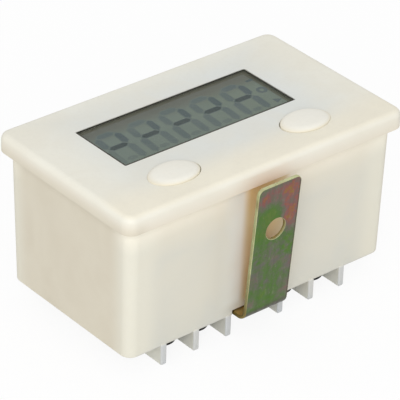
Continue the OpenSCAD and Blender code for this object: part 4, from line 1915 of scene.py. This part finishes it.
@dataclass
class Studio:
    """Camera, floor, lamp and surroundings.

    Angles are in degrees. The camera's distance, slide and top_z are in the case's millimetres,
    its lens and sensor in the camera's, and other lengths in metres. The lamp's place is its
    azimuth, elevation and distance.
    """

    azimuth: float = -40.483
    elevation: float = 31.525
    roll: float = 1.863
    distance: float = 509.62
    slide: Point = (-0.578, -14.549)
    lens: float = 251.94
    sensor: float = 36.0
    clip_start: float = 0.01
    top_z: float = FACE_Z
    sky: float = 0.74
    lamp_at: Triple = (-42.0, 28.0, 0.9)
    lamp_size: float = 0.6
    lamp_power: float = 3.4
    aim_z: float = 0.02
    floor_size: float = 3.0
    floor_colour: Colour = srgb(222, 222, 219)
    floor_rough: float = 0.9
    shadow_share: float = 0.1

    def build(self) -> None:
        """Set up everything round the object."""
        bpy.context.scene.view_settings.view_transform = "Standard"
        self.camera()
        self.lamp()
        self.surroundings()
        self.floor()

    def direction(self, azimuth: float, elevation: float) -> Vector:
        """Return the unit vector from the object towards a place round it."""
        az, el = math.radians(azimuth), math.radians(elevation)
        return Vector((math.sin(az) * math.cos(el), -math.cos(az) * math.cos(el), math.sin(el)))

    def camera(self) -> None:
        """Place the camera where the photograph was taken from."""
        back = self.direction(self.azimuth, self.elevation)
        az, roll = math.radians(self.azimuth), math.radians(self.roll)
        level = Vector((math.cos(az), math.sin(az), 0.0))
        upright = back.cross(level)
        right = level * math.cos(roll) + upright * math.sin(roll)
        up = upright * math.cos(roll) - level * math.sin(roll)
        eye = back * self.distance + right * self.slide[0] + up * self.slide[1]
        eye = (eye + Vector((0.0, CASE_Y, self.top_z))) * MM
        lens = bpy.data.cameras.new("viewpoint")
        lens.lens = self.lens
        lens.sensor_width = self.sensor
        lens.sensor_fit = "HORIZONTAL"
        lens.clip_start = self.clip_start
        holder = linked("viewpoint", lens)
        turn = Matrix((right, up, back)).transposed().to_4x4()
        holder.matrix_world = Matrix.Translation(eye) @ turn
        bpy.context.scene.camera = holder

    def lamp(self) -> None:
        """Hang a round soft lamp that faces the object."""
        azimuth, elevation, distance = self.lamp_at
        light = bpy.data.lights.new("key", "AREA")
        light.shape = "DISK"
        light.size = self.lamp_size
        light.energy = self.lamp_power
        towards = self.direction(azimuth, elevation)
        holder = linked("key", light)
        holder.location = towards * distance + Vector((0.0, 0.0, self.aim_z))
        holder.rotation_euler = towards.to_track_quat("Z", "Y").to_euler()

    def seen(self, paint: Painter) -> Socket:
        """Tell rays from the camera or through gloss and glass from others.

        Args:
            paint: Painter in the tree.

        Returns:
            1 for such rays, else 0.
        """
        path = paint.node("ShaderNodeLightPath").outputs
        shown = paint.math("MAXIMUM", path["Is Camera Ray"], path["Is Glossy Ray"])
        return paint.math("MAXIMUM", shown, path["Is Transmission Ray"])

    def surroundings(self) -> None:
        """Make the world white where it is seen and a soft light elsewhere."""
        world = bpy.data.worlds.new("studio")
        bpy.context.scene.world = world
        world.use_nodes = True
        paint = Painter(world.node_tree)
        backdrop = world.node_tree.nodes["Background"].inputs
        backdrop["Color"].default_value = (1.0, 1.0, 1.0, 1.0)
        lift = paint.math("MULTIPLY_ADD", self.seen(paint), 1.0 - self.sky, self.sky)
        paint.feed(backdrop["Strength"], lift)

    def floor(self) -> None:
        """Lay a pale floor that shows white and keeps a faint shadow."""
        half = self.floor_size / 2
        mesh = bpy.data.meshes.new("floor")
        corners = [(-half, -half, 0.0), (half, -half, 0.0), (half, half, 0.0), (-half, half, 0.0)]
        mesh.from_pydata(corners, [], [(0, 1, 2, 3)])
        ground = linked("floor", mesh)
        material = bpy.data.materials.new("pale_floor")
        material.use_nodes = True
        paint = Painter(material.node_tree)
        paint.shade({"Base Color": self.floor_colour, "Roughness": self.floor_rough})

        def blend(share: Value, first: bpy.types.Node, second: bpy.types.Node) -> bpy.types.Node:
            """Return a node that mixes two shaders."""
            inputs = {0: share, 1: first.outputs[0], 2: second.outputs[0]}
            return paint.node("ShaderNodeMixShader", inputs)

        white = paint.node("ShaderNodeEmission", {"Strength": 1.0})
        catcher = paint.node("ShaderNodeBsdfDiffuse", {"Color": (1.0, 1.0, 1.0, 1.0)})
        shown = blend(self.shadow_share, white, catcher)
        clear = paint.node("ShaderNodeBsdfTransparent")
        under = paint.node("ShaderNodeNewGeometry").outputs["Backfacing"]
        nodes = material.node_tree.nodes
        above = blend(self.seen(paint), nodes["Principled BSDF"], shown)
        sided = blend(under, above, clear)
        paint.feed(nodes["Material Output"].inputs["Surface"], sided.outputs["Shader"])
        mesh.materials.append(material)


def main() -> None:
    """Build the counter's sub-assemblies in order."""
    logging.basicConfig(level=logging.INFO, format="%(name)s: %(message)s")
    Studio().build()
    Case().build()
    Display().build()
    PushButton("pause_cap", Body.PAUSE, "pause_button", Side.LEFT).build()
    PushButton("reset_cap", Body.RESET, "reset_button", Side.RIGHT).build()
    Bracket().build()
    Fasteners().build()
    Interior().build()


if __name__ == "__main__":
    main()
